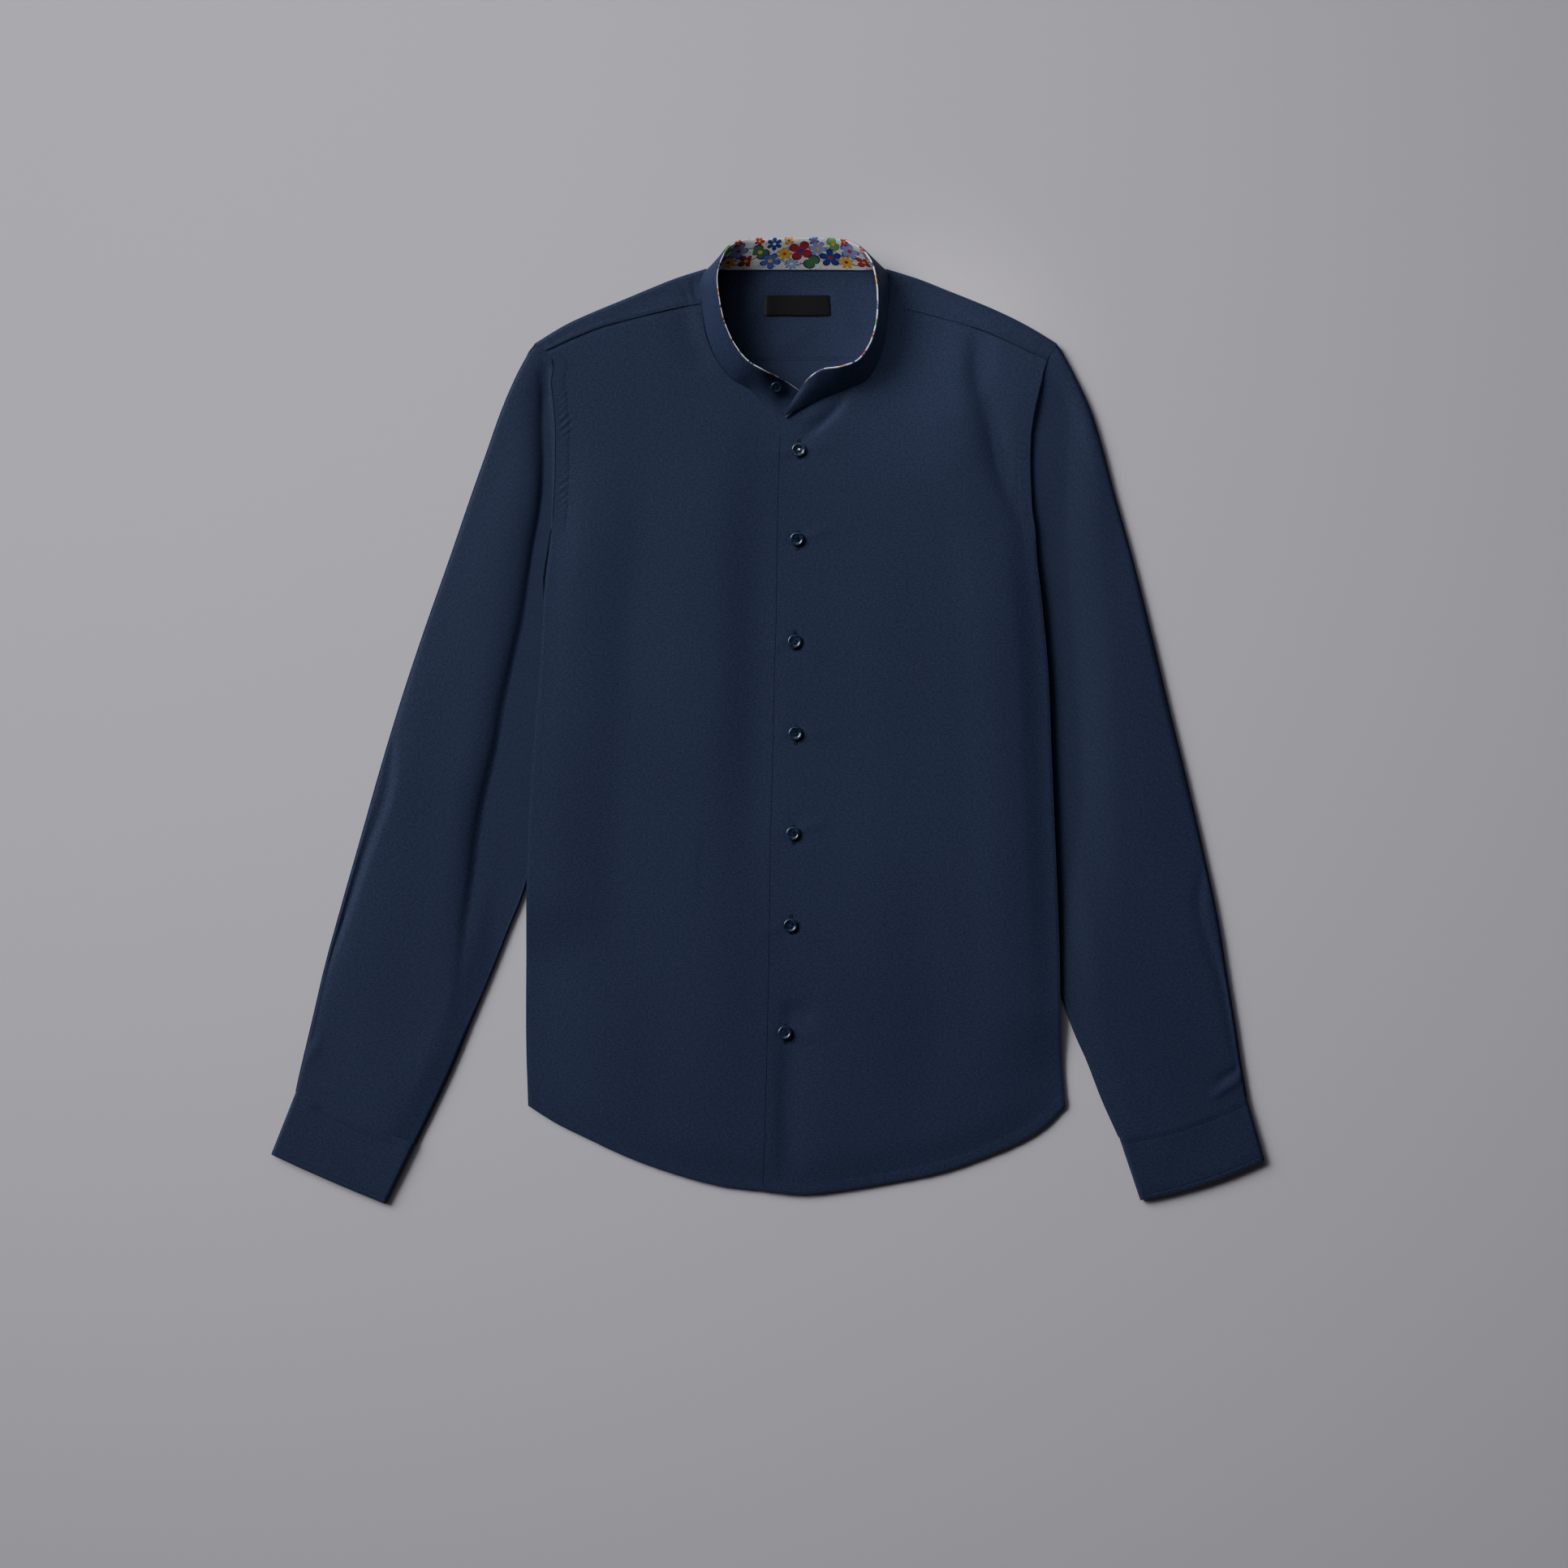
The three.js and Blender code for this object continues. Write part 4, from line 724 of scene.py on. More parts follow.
def stitch_tree():
    """Geometry Nodes: one stitch repeated along every line of the mesh, along it or across it"""
    if "stitches" in bpy.data.node_groups:
        return bpy.data.node_groups["stitches"]
    tree = bpy.data.node_groups.new("stitches", "GeometryNodeTree")
    tree.is_modifier = True
    for name, kind, default in (
        ("Lines", "NodeSocketGeometry", None), ("Pitch", "NodeSocketFloat", 0.0026),
        ("Stitch length", "NodeSocketFloat", 0.0021), ("Thread", "NodeSocketFloat", 0.0004),
        ("Across", "NodeSocketFloat", 0.0), ("Material", "NodeSocketMaterial", None),
    ):
        socket = tree.interface.new_socket(name, in_out="INPUT", socket_type=kind)
        if default is not None:
            socket.default_value = default
    tree.interface.new_socket("Geometry", in_out="OUTPUT", socket_type="NodeSocketGeometry")
    nodes = Nodes(tree)
    given = nodes.add("NodeGroupInput").outputs
    curve = nodes.add("GeometryNodeMeshToCurve")
    nodes.link(given["Lines"], curve.inputs["Mesh"])
    spaced = nodes.add("GeometryNodeResampleCurve", mode="LENGTH")
    nodes.link(curve.outputs[0], spaced.inputs["Curve"])
    nodes.link(given["Pitch"], spaced.inputs["Length"])
    stitch = nodes.add("GeometryNodeMeshUVSphere")
    nodes.link(6, stitch.inputs["Segments"])
    nodes.link(5, stitch.inputs["Rings"])
    nodes.link(0.5, stitch.inputs["Radius"])
    size = nodes.add("ShaderNodeCombineXYZ")
    for value, socket in zip((given["Stitch length"], given["Thread"], given["Thread"]), size.inputs):
        nodes.link(value, socket)
    shaped = nodes.add("GeometryNodeTransform")
    nodes.link(stitch.outputs["Mesh"], shaped.inputs["Geometry"])
    nodes.link(size.outputs[0], shaped.inputs["Scale"])
    turned = nodes.add("ShaderNodeCombineXYZ")
    nodes.link(given["Across"], turned.inputs["Z"])
    swung = nodes.add("GeometryNodeTransform")
    nodes.link(shaped.outputs[0], swung.inputs["Geometry"])
    nodes.link(turned.outputs[0], swung.inputs["Rotation"])
    facing = nodes.add("FunctionNodeAlignEulerToVector", axis="X")
    nodes.link(nodes.add("GeometryNodeInputTangent").outputs[0], facing.inputs["Vector"])
    placed = nodes.add("GeometryNodeInstanceOnPoints")
    nodes.link(spaced.outputs[0], placed.inputs["Points"])
    nodes.link(swung.outputs[0], placed.inputs["Instance"])
    nodes.link(facing.outputs[0], placed.inputs["Rotation"])
    real = nodes.add("GeometryNodeRealizeInstances")
    nodes.link(placed.outputs[0], real.inputs[0])
    smooth = nodes.add("GeometryNodeSetShadeSmooth")
    nodes.link(real.outputs[0], smooth.inputs[0])
    painted = nodes.add("GeometryNodeSetMaterial")
    nodes.link(smooth.outputs[0], painted.inputs[0])
    nodes.link(given["Material"], painted.inputs["Material"])
    nodes.link(painted.outputs[0], nodes.add("NodeGroupOutput").inputs[0])
    return tree


def sew(name, lines, pitch=None, length=None, thread=None, across=False):
    """A plain mesh of stitches along lines given in millimetres"""
    look = bpy.context.scene.shirt_look
    points = np.concatenate([np.asarray(line, float) for line in lines]) * MM
    edges, first = [], 0
    for line in lines:
        edges += [(first + k, first + k + 1) for k in range(len(line) - 1)]
        first += len(line)
    mesh = bpy.data.meshes.new(name)
    mesh.from_pydata(points.tolist(), edges, [])
    piece = bpy.data.objects.new(name, mesh)
    bpy.context.scene.collection.objects.link(piece)
    modifier = piece.modifiers.new("stitches", "NODES")
    modifier.node_group = stitch_tree()
    values = {
        "Pitch": pitch or look.stitch_pitch, "Stitch length": length or look.stitch_length,
        "Thread": thread or look.thread_width, "Across": math.pi / 2 if across else 0.0,
        "Material": sewing_thread(),
    }
    for item in modifier.node_group.interface.items_tree:
        if item.in_out == "INPUT" and item.name in values:
            modifier[item.identifier] = values[item.name]
    graph = bpy.context.evaluated_depsgraph_get()
    made = bpy.data.meshes.new_from_object(piece.evaluated_get(graph))
    piece.modifiers.clear()
    piece.data = made
    made.name = name
    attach(piece, "root")
    return piece


def dress(piece, nodes):
    """The frame's calls that every finished piece gets"""
    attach(piece, "root")
    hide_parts(*nodes)
    return piece


# Fronts

BODY_WALL = 0.8
HEM_DEPTH = 7.0
PLACKET_WIDTH = 35.0
ARMHOLE_STITCH = 10.5
FRONT_EDGE_COLUMNS = [0, 0.5, 1.1, 1.9, 2.8, 4, 5.4, 7, 9]
FRONT_PLACKET_COLUMNS = FRONT_EDGE_COLUMNS + [11.5, 14, 17, 20, 23, 26, 29, 31.5, 33.2, 34.2, 35.2, 36.4, 38]
FRONT_SIDE_COLUMNS = [0, 0.5, 1.1, 1.9, 2.9, 4.2, 5.8, 7.5, 9.0, 10.2, 11.4, 13, 15, 17.5, 20]
FRONT_MIDDLE = 76


def hem_distance(x, y):
    slope = (hem_height(x + 2) - hem_height(x - 2)) / 4
    return (y - hem_height(x)) / np.sqrt(1 + slope**2)


def neck_line(side):
    rows = COLLAR[:8] if side == "right" else COLLAR[19:]
    line = offset_line([row[:2] for row in rows], 0.6)
    return line if side == "right" else line[::-1]


def yoke_seam_height(side, x):
    rows = YOKE_STATIONS[side]
    return soft(np.abs(x), [abs(row[0]) for row in rows], [row[1] for row in rows])


def armhole_puckers(side, x, y, inside):
    """Small uneven gathers between the armhole seam and its topstitch"""
    start = ARMHOLE_START[side]
    slant = 0.9 if side == "right" else 0.35
    along_seam = y - start - slant * inside
    wave = np.sin(along_seam / 0.9 + 1.6 * np.sin(along_seam / 8.0) + (0.7 if side == "left" else 0))
    reach = 13 + 4 * np.sin(along_seam / 5.3 + 1)
    window = smoothstep(inside, 1.5, 5) * (1 - smoothstep(inside, reach - 5, reach + 3))
    strength = 0.55 + 0.45 * np.sin(along_seam / 11.0 + (2.2 if side == "left" else 0.4))
    return 0.45 * wave * strength * window * smoothstep(y - start, 4, 30) * (1 - smoothstep(y, 268, 292))


def hem_puckers(x, distance):
    """Slanting ripples of a rolled hem"""
    wave = np.sin((x + 0.8 * distance) / 2.6 + 1.1 * np.sin(x / 19.0))
    return 0.10 * wave * (1 - smoothstep(distance, HEM_DEPTH - 1, HEM_DEPTH + 6))


def button_pulls(x, y):
    """The cloth drawn in round each button, with short pleats to its sides"""
    total = np.zeros_like(x)
    for number, (bx, by) in enumerate(BUTTON_PLACES):
        dx, dy = x - bx, y - by
        total -= 0.45 * np.exp(-(dx**2 + dy**2) / 60)
        tilt = 0.35 * math.sin(2.1 * number)
        for way, height in ((1, 0.45), (-1, 0.38)):
            line = dy - way * dx * tilt - 2.2 * way * math.cos(1.7 * number)
            reach = smoothstep(way * dx, 3, 9) * (1 - smoothstep(way * dx, 14, 40))
            total += height * reach * np.exp(-(line / 4.2) ** 2)
    return total


def front_top(side, x, y):
    """Height of a front's upper face"""
    inside = distance_inside(x, y)
    z = upper_underside(x, y) + CLOTH
    hem = hem_distance(x, y)
    at_armhole = smoothstep(y, ARMHOLE_START[side] - 8, ARMHOLE_START[side] + 6)
    curl = 0.25 if side == "right" else 0.5
    z += lerp(-curl * (1 - smoothstep(inside, 0, 2.5)), 0.15 * (1 - smoothstep(inside, 9, 12)), at_armhole)
    z -= 0.16 * at_armhole * np.exp(-((inside - ARMHOLE_STITCH) / 1.0) ** 2)
    z += armhole_puckers(side, x, y, inside)
    z += 0.35 * (1 - smoothstep(hem, HEM_DEPTH - 0.6, HEM_DEPTH + 0.8)) * smoothstep(hem, 0, 1.5)
    z += hem_puckers(x, hem)
    z -= 0.28 * (1 - smoothstep(yoke_seam_height(side, x) - y, 1.5, 6))
    if side == "left":
        z += overlap_lift(x, y)
        from_edge = x - inner_edge("left", y)
        z += 0.05 * (1 - smoothstep(from_edge, PLACKET_WIDTH - 0.7, PLACKET_WIDTH + 0.7))
    return z + button_pulls(x, y)


def front_plan(side):
    """Plan points of a front on a fine grid, rows from the hem to the yoke seam"""
    neck = neck_line(side)
    inner = [(row[0], row[1]) for row in FRONT_ROWS[side]] + [tuple(point) for point in neck]
    outer_y = [row[2] for row in FRONT_ROWS[side]] + NECK_OUTER[side]
    last = len(inner) - 1
    coarse = np.linspace(0, last, 400)
    mid = along(inner, coarse)
    mid_y = (mid[:, 1] + np.interp(coarse, range(len(outer_y)), outer_y)) / 2
    rise = np.concatenate([[0], np.cumsum(np.abs(np.diff(mid_y)))])
    near = [0, 0.6, 1.4, 2.4, 3.6, 5, 6.2, 7.2, 8.4, 10]
    top = [0, 0.8, 1.8, 3, 4.6]
    slow = np.arange(near[-1] + 2.9, rise[-1] - 168, 2.9)
    even = np.append(slow, np.arange(slow[-1] + 1.35, rise[-1] - top[-1] - 0.8, 1.35))
    rows = np.interp(np.concatenate([near, even, rise[-1] - np.array(top[::-1])]), rise, coarse)
    start = along(inner, rows)
    end_y = np.interp(rows, range(len(outer_y)), outer_y)
    end = np.stack([body_edge(side, end_y), end_y], axis=1)
    outward = 1 if side == "left" else -1
    end[:, 0] += outward * 0.9 * smoothstep(end_y, ARMHOLE_START[side] - 4, ARMHOLE_START[side] + 8)
    width = np.linalg.norm(end - start, axis=1)
    places = cross_places(width, FRONT_PLACKET_COLUMNS, FRONT_SIDE_COLUMNS, FRONT_MIDDLE) / width[:, None]
    plan = start[:, None] + (end - start)[:, None] * places[..., None]
    first, final = plan[0], plan[-1]
    hem_share = 1 - smoothstep(rows, 0, 3)
    seam_share = (rows / last) ** 8
    x = plan[..., 0]
    hem_line = np.interp(x, *(first.T if side == "left" else first[::-1].T))
    seam_line = np.interp(x, *(final.T if side == "left" else final[::-1].T))
    plan[..., 1] += hem_share[:, None] * (hem_height(x) - hem_line)
    plan[..., 1] += seam_share[:, None] * (yoke_seam_height(side, x) - 0.2 - seam_line)
    return plan


def on_front(side, points):
    """A line in plan laid on a front"""
    points = np.asarray(points, float)
    z = front_top(side, points[:, 0], points[:, 1])
    return np.column_stack([points, z + 0.03])


def make_front(side):
    plan = front_plan(side)
    x, y = plan[..., 0], plan[..., 1]
    grid = np.dstack([x, y, front_top(side, x, y)])
    piece = cloth_shell(f"front_{side}_cloth", grid, plan, BODY_WALL, navy_cotton(), flip=side == "right")
    outward = 1 if side == "left" else -1
    y_arm = np.linspace(ARMHOLE_START[side] - 2, 300, 90)
    armhole = np.column_stack([body_edge(side, y_arm) - outward * ARMHOLE_STITCH, y_arm])
    x_hem = np.linspace(-26, 214, 130) if side == "left" else np.linspace(-214.5, -29, 100)
    slope = (hem_height(x_hem + 2) - hem_height(x_hem - 2)) / 4
    hem = np.column_stack([x_hem, hem_height(x_hem) + HEM_DEPTH * np.sqrt(1 + slope**2)])
    lines = [on_front(side, armhole), on_front(side, hem)]
    stitches = sew(f"front_{side}_stitching", lines)
    # A dense line of dark thread along the armhole seam's edge, and on the left front along the placket's edge: painted
    # shadow lines in these seams, laid over the lit rim of the cloth.
    y_seam = np.linspace(ARMHOLE_START[side] + 3, 301, 110)
    x_seam = body_edge(side, y_seam)
    seam_shadow_lines = [np.column_stack([x_seam + outward * 0.4, y_seam, front_top(side, x_seam, y_seam) + 0.05])]
    if side == "left":
        y_edge = np.linspace(-370, 240, 260)
        x_edge = inner_edge("left", y_edge)
        seam_shadow_lines.append(np.column_stack([x_edge - 0.1, y_edge, front_top(side, x_edge, y_edge) + 0.0]))
    seam_shadow_lines = sew(f"front_{side}_seams", seam_shadow_lines, pitch=0.0013, length=0.0019, thread=0.00055)
    return dress(piece, [f"front_{side}"])


def buttonhole_lines():
    """Closed loops round each slit of the placket, on the left front"""
    loops = []
    for number, (bx, by) in enumerate(BUTTON_PLACES):
        above = 8.6 if number in (0, 2, 5) else 6.6
        top, low = by + above, by + above - 15.4
        x = bx + 0.25 * math.sin(number * 1.9)
        angle = np.linspace(0, 2 * math.pi, 37)
        reach = np.where(np.sin(angle) > 0, top - 0.9, low + 0.9)
        loop = np.column_stack([x + 0.85 * np.cos(angle), reach + 0.9 * np.sin(angle)])
        loops.append(on_front("left", loop) + (0, 0, 0.1))
    return loops


# Back

BACK_WALL = 1.0


def make_back():
    top = BACK_YOKE_SEAM - 0.2
    y_rows = np.concatenate([[-305, -304.2, -303, -301.5, -300, -298, -295], np.linspace(-292, top, 200)])
    left, right = body_edge("left", y_rows), body_edge("right", y_rows)
    places = cross_places(left - right, FRONT_SIDE_COLUMNS, FRONT_SIDE_COLUMNS, 130)
    x = right[:, None] + places
    y = np.broadcast_to(y_rows[:, None], x.shape).copy()
    fade = 1 - smoothstep(y_rows, -305, -240)
    y += (fade * 1.0)[:, None] * (hem_height(x) + 305)
    inside = distance_inside(x, y)
    hem = hem_distance(x, y)
    z = back_underside(x, y) + 0.5 * (1 - smoothstep(inside, 0, 3))
    z += 0.12 * (1 - smoothstep(hem, HEM_DEPTH, HEM_DEPTH + 1.2)) + np.maximum(hem_puckers(x, hem), 0)
    z += np.maximum(fold_height(BACK_FOLDS, x, y), 0) * smoothstep(inside, 4, 30)
    grid = np.dstack([x, y, z])
    piece = cloth_shell("back_cloth", grid, np.dstack([x, y]), BACK_WALL, navy_cotton(), flip=True)
    hem_row = int(np.argmin(np.abs(hem[:, 80] - HEM_DEPTH)))
    lines = [grid[hem_row, 2:-2] - (0, 0, 0.03)]
    stitches = sew("back_stitching", lines)
    return dress(piece, ["back"])


BACK_FOLDS = [
    (((-70, 280), (-84, 120), (-60, -60)), 20, 28, 0.9),
    (((60, 285), (90, 90), (96, -150)), 26, 18, 1.0),
    (((-150, 120), (-120, -60), (-128, -250)), 22, 26, 0.8),
    (((20, 60), (8, -120), (34, -300)), 24, 30, 0.7),
]


# Yoke

YOKE_WALL = 1.0


def make_yoke():
    arc = np.radians(np.linspace(-90, 90, 15))[1:-1]
    back_rows, front_rows = np.linspace(0, 1, 34), np.linspace(0, 1, 16)
    stations = {side: along(rows, np.linspace(0, 6, 60)) for side, rows in YOKE_STATIONS.items()}
    columns = []
    for side in ("right", "left"):
        made = []
        for sx, sy, fx, fy, bx in stations[side]:
            seam, fold, back = np.array([sx, sy]), np.array([fx, fy]), np.array([bx, BACK_YOKE_SEAM])
            way = (fold - back) / np.linalg.norm(fold - back)
            tangent = fold - way * SHOULDER_RADIUS
            flat = back + (tangent - back) * back_rows[:, None]
            turn = tangent + way * SHOULDER_RADIUS * np.cos(arc)[:, None]
            front = tangent + (seam + (seam - fold) / np.linalg.norm(seam - fold) * 1.0 - tangent) * front_rows[:, None]
            plan = np.concatenate([flat, turn, front])
            height = np.concatenate([
                np.zeros(len(flat)), SHOULDER_RADIUS * (1 + np.sin(arc)),
                2 * SHOULDER_RADIUS + 0.35 * smoothstep(front_rows, 0.5, 0.95)
                - 0.2 * smoothstep(front_rows, 0.95, 1.0),
            ])
            made.append(np.column_stack([plan, height]))
        columns.append(made if side == "left" else made[::-1])
    across = np.linspace(-70, 70, 62)
    count = len(back_rows)
    neck = []
    for x in across:
        y = np.concatenate([lerp(BACK_YOKE_SEAM, BACK_NECK + 0.6, back_rows),
                            np.full(len(arc) + len(front_rows), BACK_NECK + 0.6)])
        neck.append(np.column_stack([np.full(len(y), x), y, np.zeros(len(y))]))
    grid = np.array(columns[0] + neck + columns[1])
    grid[..., 2] += yoke_relief(grid[..., 0], grid[..., 1], grid[..., 2])
    path = np.concatenate([np.zeros((len(grid), 1)),
                           np.cumsum(np.linalg.norm(np.diff(grid, axis=1), axis=2), axis=1)], axis=1)
    uv = np.dstack([grid[..., 0], path])
    keep = np.ones((grid.shape[0] - 1, grid.shape[1] - 1), bool)
    first, last = 59, 59 + len(across) + 1
    keep[first:last, count - 1:] = False
    wall = np.full(grid.shape[:2], YOKE_WALL)
    wall[:, -len(front_rows):] = YOKE_WALL - 0.5 * smoothstep(front_rows, 0.5, 0.9)
    piece = cloth_shell("yoke_cloth", grid, uv, wall, navy_cotton(), keep=keep)
    lines = []
    for start, stop in ((1, 58), (last + 1, len(grid) - 2)):
        rows = np.linspace(start, stop, 70)
        lines.append(pick(grid, rows, np.full(70, grid.shape[1] - 3.2)) + (0, 0, 0.03))
    for row in (4.2, len(grid) - 5.2):
        lines.append(pick(grid, np.full(40, row), np.linspace(40, grid.shape[1] - 1.2, 40)) + (0, 0, 0.03))
    rows = np.linspace(1, len(grid) - 2, 220)
    inner = pick(grid, rows, np.full(220, 1.0))
    lines.append(inner + (0, 0, YOKE_WALL + 0.03))
    lines.append(inner - (0, 0, 0.03))
    stitches = sew("yoke_stitching", lines)
    # A dense line of dark thread along the edge of each yoke seam: painted shadow lines in the seams, laid over the lit
    # rim of the yoke.
    seam_shadow_lines = []
    for start, stop in ((0.5, 58.5), (last + 0.5, len(grid) - 1.5)):
        rows = np.linspace(start, stop, 90)
        seam_shadow_lines.append(pick(grid, rows, np.full(90, grid.shape[1] - 1.2)) + (0, -0.15, 0.2))
    seam_shadow_lines = sew("yoke_seam_shadow_lines", seam_shadow_lines, pitch=0.0013, length=0.0019, thread=0.0005)
    return dress(piece, ["yoke"])


def yoke_relief(x, y, z):
    """Slight waves and short pleats of the yoke over the shoulders, and soft creases inside the neck"""
    upper = smoothstep(z, 4, 6)
    waves = 0.18 * np.sin(x / 9.0 + 0.8 * np.sin(x / 23.0)) * np.cos(y / 6.0)
    return upper * (waves + fold_height(YOKE_PLEATS, x, y)) + (1 - upper) * fold_height(NECK_CREASES, x, y)


YOKE_PLEATS = [
    (((-85, 366), (-84, 357), (-81, 347)), 2.4, 2.0, -0.9),
    (((-91, 358), (-89, 352), (-86, 345)), 2.6, 2.2, -0.8),
    (((-88, 363), (-86.5, 354), (-84, 346)), 2.0, 2.0, 0.5),
    (((79, 367), (81, 356), (82, 347)), 2.0, 2.4, -0.9),
    (((84, 364), (86, 355), (85, 346)), 2.0, 2.0, -0.6),
]
NECK_CREASES = [
    (((-8, 368), (-28, 352), (-40, 330)), 9, 7, 0.9),
    (((22, 362), (40, 340), (44, 318)), 8, 10, 0.8),
    (((-50, 366), (-58, 340), (-50, 316)), 7, 9, 0.7),
    (((14, 330), (0, 318), (-20, 312)), 6, 8, 0.6),
]


# Sleeves and cuffs

SLEEVE_WALL = 0.7
SLEEVE_PUFF = {"left": 0.0, "right": 1.5}
ROLL_DEPTH = {"left": 5.0, "right": 7.0}


def armhole_curve(side):
    points = np.array([(x, y) for y, x in BODY_EDGE[side] if y >= ARMHOLE_START[side]])
    reach = lengths(points)
    return points, reach / reach[-1]


def edge_round(distance, radius):
    """Half the thickness of a folded edge, `distance` in from it"""
    inside = np.clip(radius - distance, 0, radius)
    return np.sqrt(radius**2 - inside**2)


def make_sleeve(side):
    rows = np.array(SLEEVES[side], float)
    last = len(rows) - 1
    mid = (rows[:, :2] + rows[:, 2:4]) / 2
    reach = lengths(mid)
    even = np.concatenate([[0, 0.8, 1.8, 3.2, 5], np.linspace(7, reach[-1] - 2, 215), [reach[-1]]])
    at = np.interp(even, reach, np.arange(last + 1))
    inner, outer = along(rows[:, :2], at), along(rows[:, 2:4], at)
    margin = np.interp(at, np.arange(last + 1), rows[:, 4])
    tn = at / last
    outward = 1 if side == "left" else -1
    hole, hole_share = armhole_curve(side)
    width = np.linalg.norm(outer - inner, axis=1)
    near = [0, 0.08, 0.3, 0.7, 1.3, 2.1, 3.2, 4.8, 7]
    places = cross_places(width, near, near, 44)
    share = places / width[:, None]
    seam = np.stack([soft(share, hole_share, hole[:, k]) for k in (0, 1)], axis=-1)
    chord = hole[0] + (hole[-1] - hole[0]) * share[..., None]
    fade = ((1 - tn) ** 3)[:, None, None]
    plan = inner[:, None] + (outer - inner)[:, None] * share[..., None] + (seam - chord) * fade
    down = np.stack([(outer - inner)[:, 1], -(outer - inner)[:, 0]], axis=1) * outward / width[:, None]
    bow = CUFFS[side][4][0] * 4 * share * (1 - share) * (tn**6)[:, None]
    plan = plan + down[:, None] * bow[..., None]
    tuck = (1 - smoothstep(tn, 0, 0.02))[:, None]
    plan[..., 0] -= outward * 1.6 * tuck
    x, y = plan[..., 0], plan[..., 1]
    r_in = lerp(1.7, SLEEVE_EDGE, smoothstep(tn, 0, 0.05))[:, None]
    r_out = lerp(SHOULDER_RADIUS, SLEEVE_EDGE + 0.6, smoothstep(tn, 0, 0.3))[:, None]
    radius = lerp(r_in, r_out, smoothstep(share, 0.3, 0.7))
    from_edge = np.minimum(places, width[:, None] - places)
    rise = smoothstep(places, margin[:, None] - 6, margin[:, None] + 24)
    rise = rise * (1 - (1 - np.clip((width[:, None] - places) / 80, 0, 1)) ** 1.6)
    puff = SLEEVE_HEIGHT + lerp(SLEEVE_PUFF[side], 0.2, smoothstep(tn, 0.45, 0.8))[:, None]
    calm = smoothstep(places, margin[:, None] - 6, margin[:, None] + 24) * smoothstep(from_edge, 1, 4.5)
    body = lerp(2 * radius, puff, rise) + calm * fold_height(SLEEVE_FOLDS, x, y)
    body += rise * sleeve_relief(side, x, y, share, tn[:, None])
    seam_x, seam_y = seam[..., 0], seam[..., 1]
    at_seam = upper_underside(seam_x, seam_y) + CLOTH
    top = lerp(at_seam, body, smoothstep(tn, 0, 0.12)[:, None]) - 0.45 * (1 - smoothstep(tn, 0, 0.018))[:, None]
    from_armhole = (tn * reach[-1])[:, None]
    trough = -ROLL_DEPTH[side] * roll_drop(SLEEVE_ROLLS[side], x, y) * smoothstep(from_armhole, 1, 9)
    deep = top + trough * smoothstep(width[:, None] - places, 4, 22)
    top = np.where(deep < 2.4, 1.8 + 0.6 * np.exp(np.minimum(deep - 2.4, 0) / 0.6), deep)
    half = edge_round(from_edge, radius)
    top = np.where(from_edge < radius, np.minimum(top, radius + half), top)
    bottom = np.where(from_edge < radius, radius - half, 0) + 1.3 * (1 - smoothstep(tn, 0, 0.03))[:, None]
    upper = np.dstack([plan, np.maximum(top, bottom + 1.5)])
    lower = np.dstack([plan, bottom])[:, ::-1][:, 1:-1]
    grid = np.concatenate([upper, lower], axis=1)
    long = np.concatenate([[0], np.cumsum(np.linalg.norm(np.diff((inner + outer) / 2, axis=0), axis=1))])
    over = places - width[:, None] / 2
    uv_upper = np.dstack([over, np.broadcast_to(long[:, None], over.shape)])
    uv = np.concatenate([uv_upper, uv_upper[:, ::-1][:, 1:-1]], axis=1)
    piece = cloth_shell(f"sleeve_{side}_cloth", grid, uv, SLEEVE_WALL, navy_cotton(), around=True,
                        flip=side == "left")
    return dress(piece, [f"sleeve_{side}"])


def sleeve_relief(side, x, y, share, tn):
    """Finer unevenness of a sleeve, long along it"""
    phase = 0.0 if side == "left" else 2.2
    slow = np.sin(share * 9.0 + 3.1 * np.sin(tn * 5.0 + phase) + phase)
    return 0.28 * slow * smoothstep(share, 0.1, 0.3) * (1 - smoothstep(share, 0.8, 1.0))


CUFF_WALL = 0.9
CUFF_RADIUS = 3.0


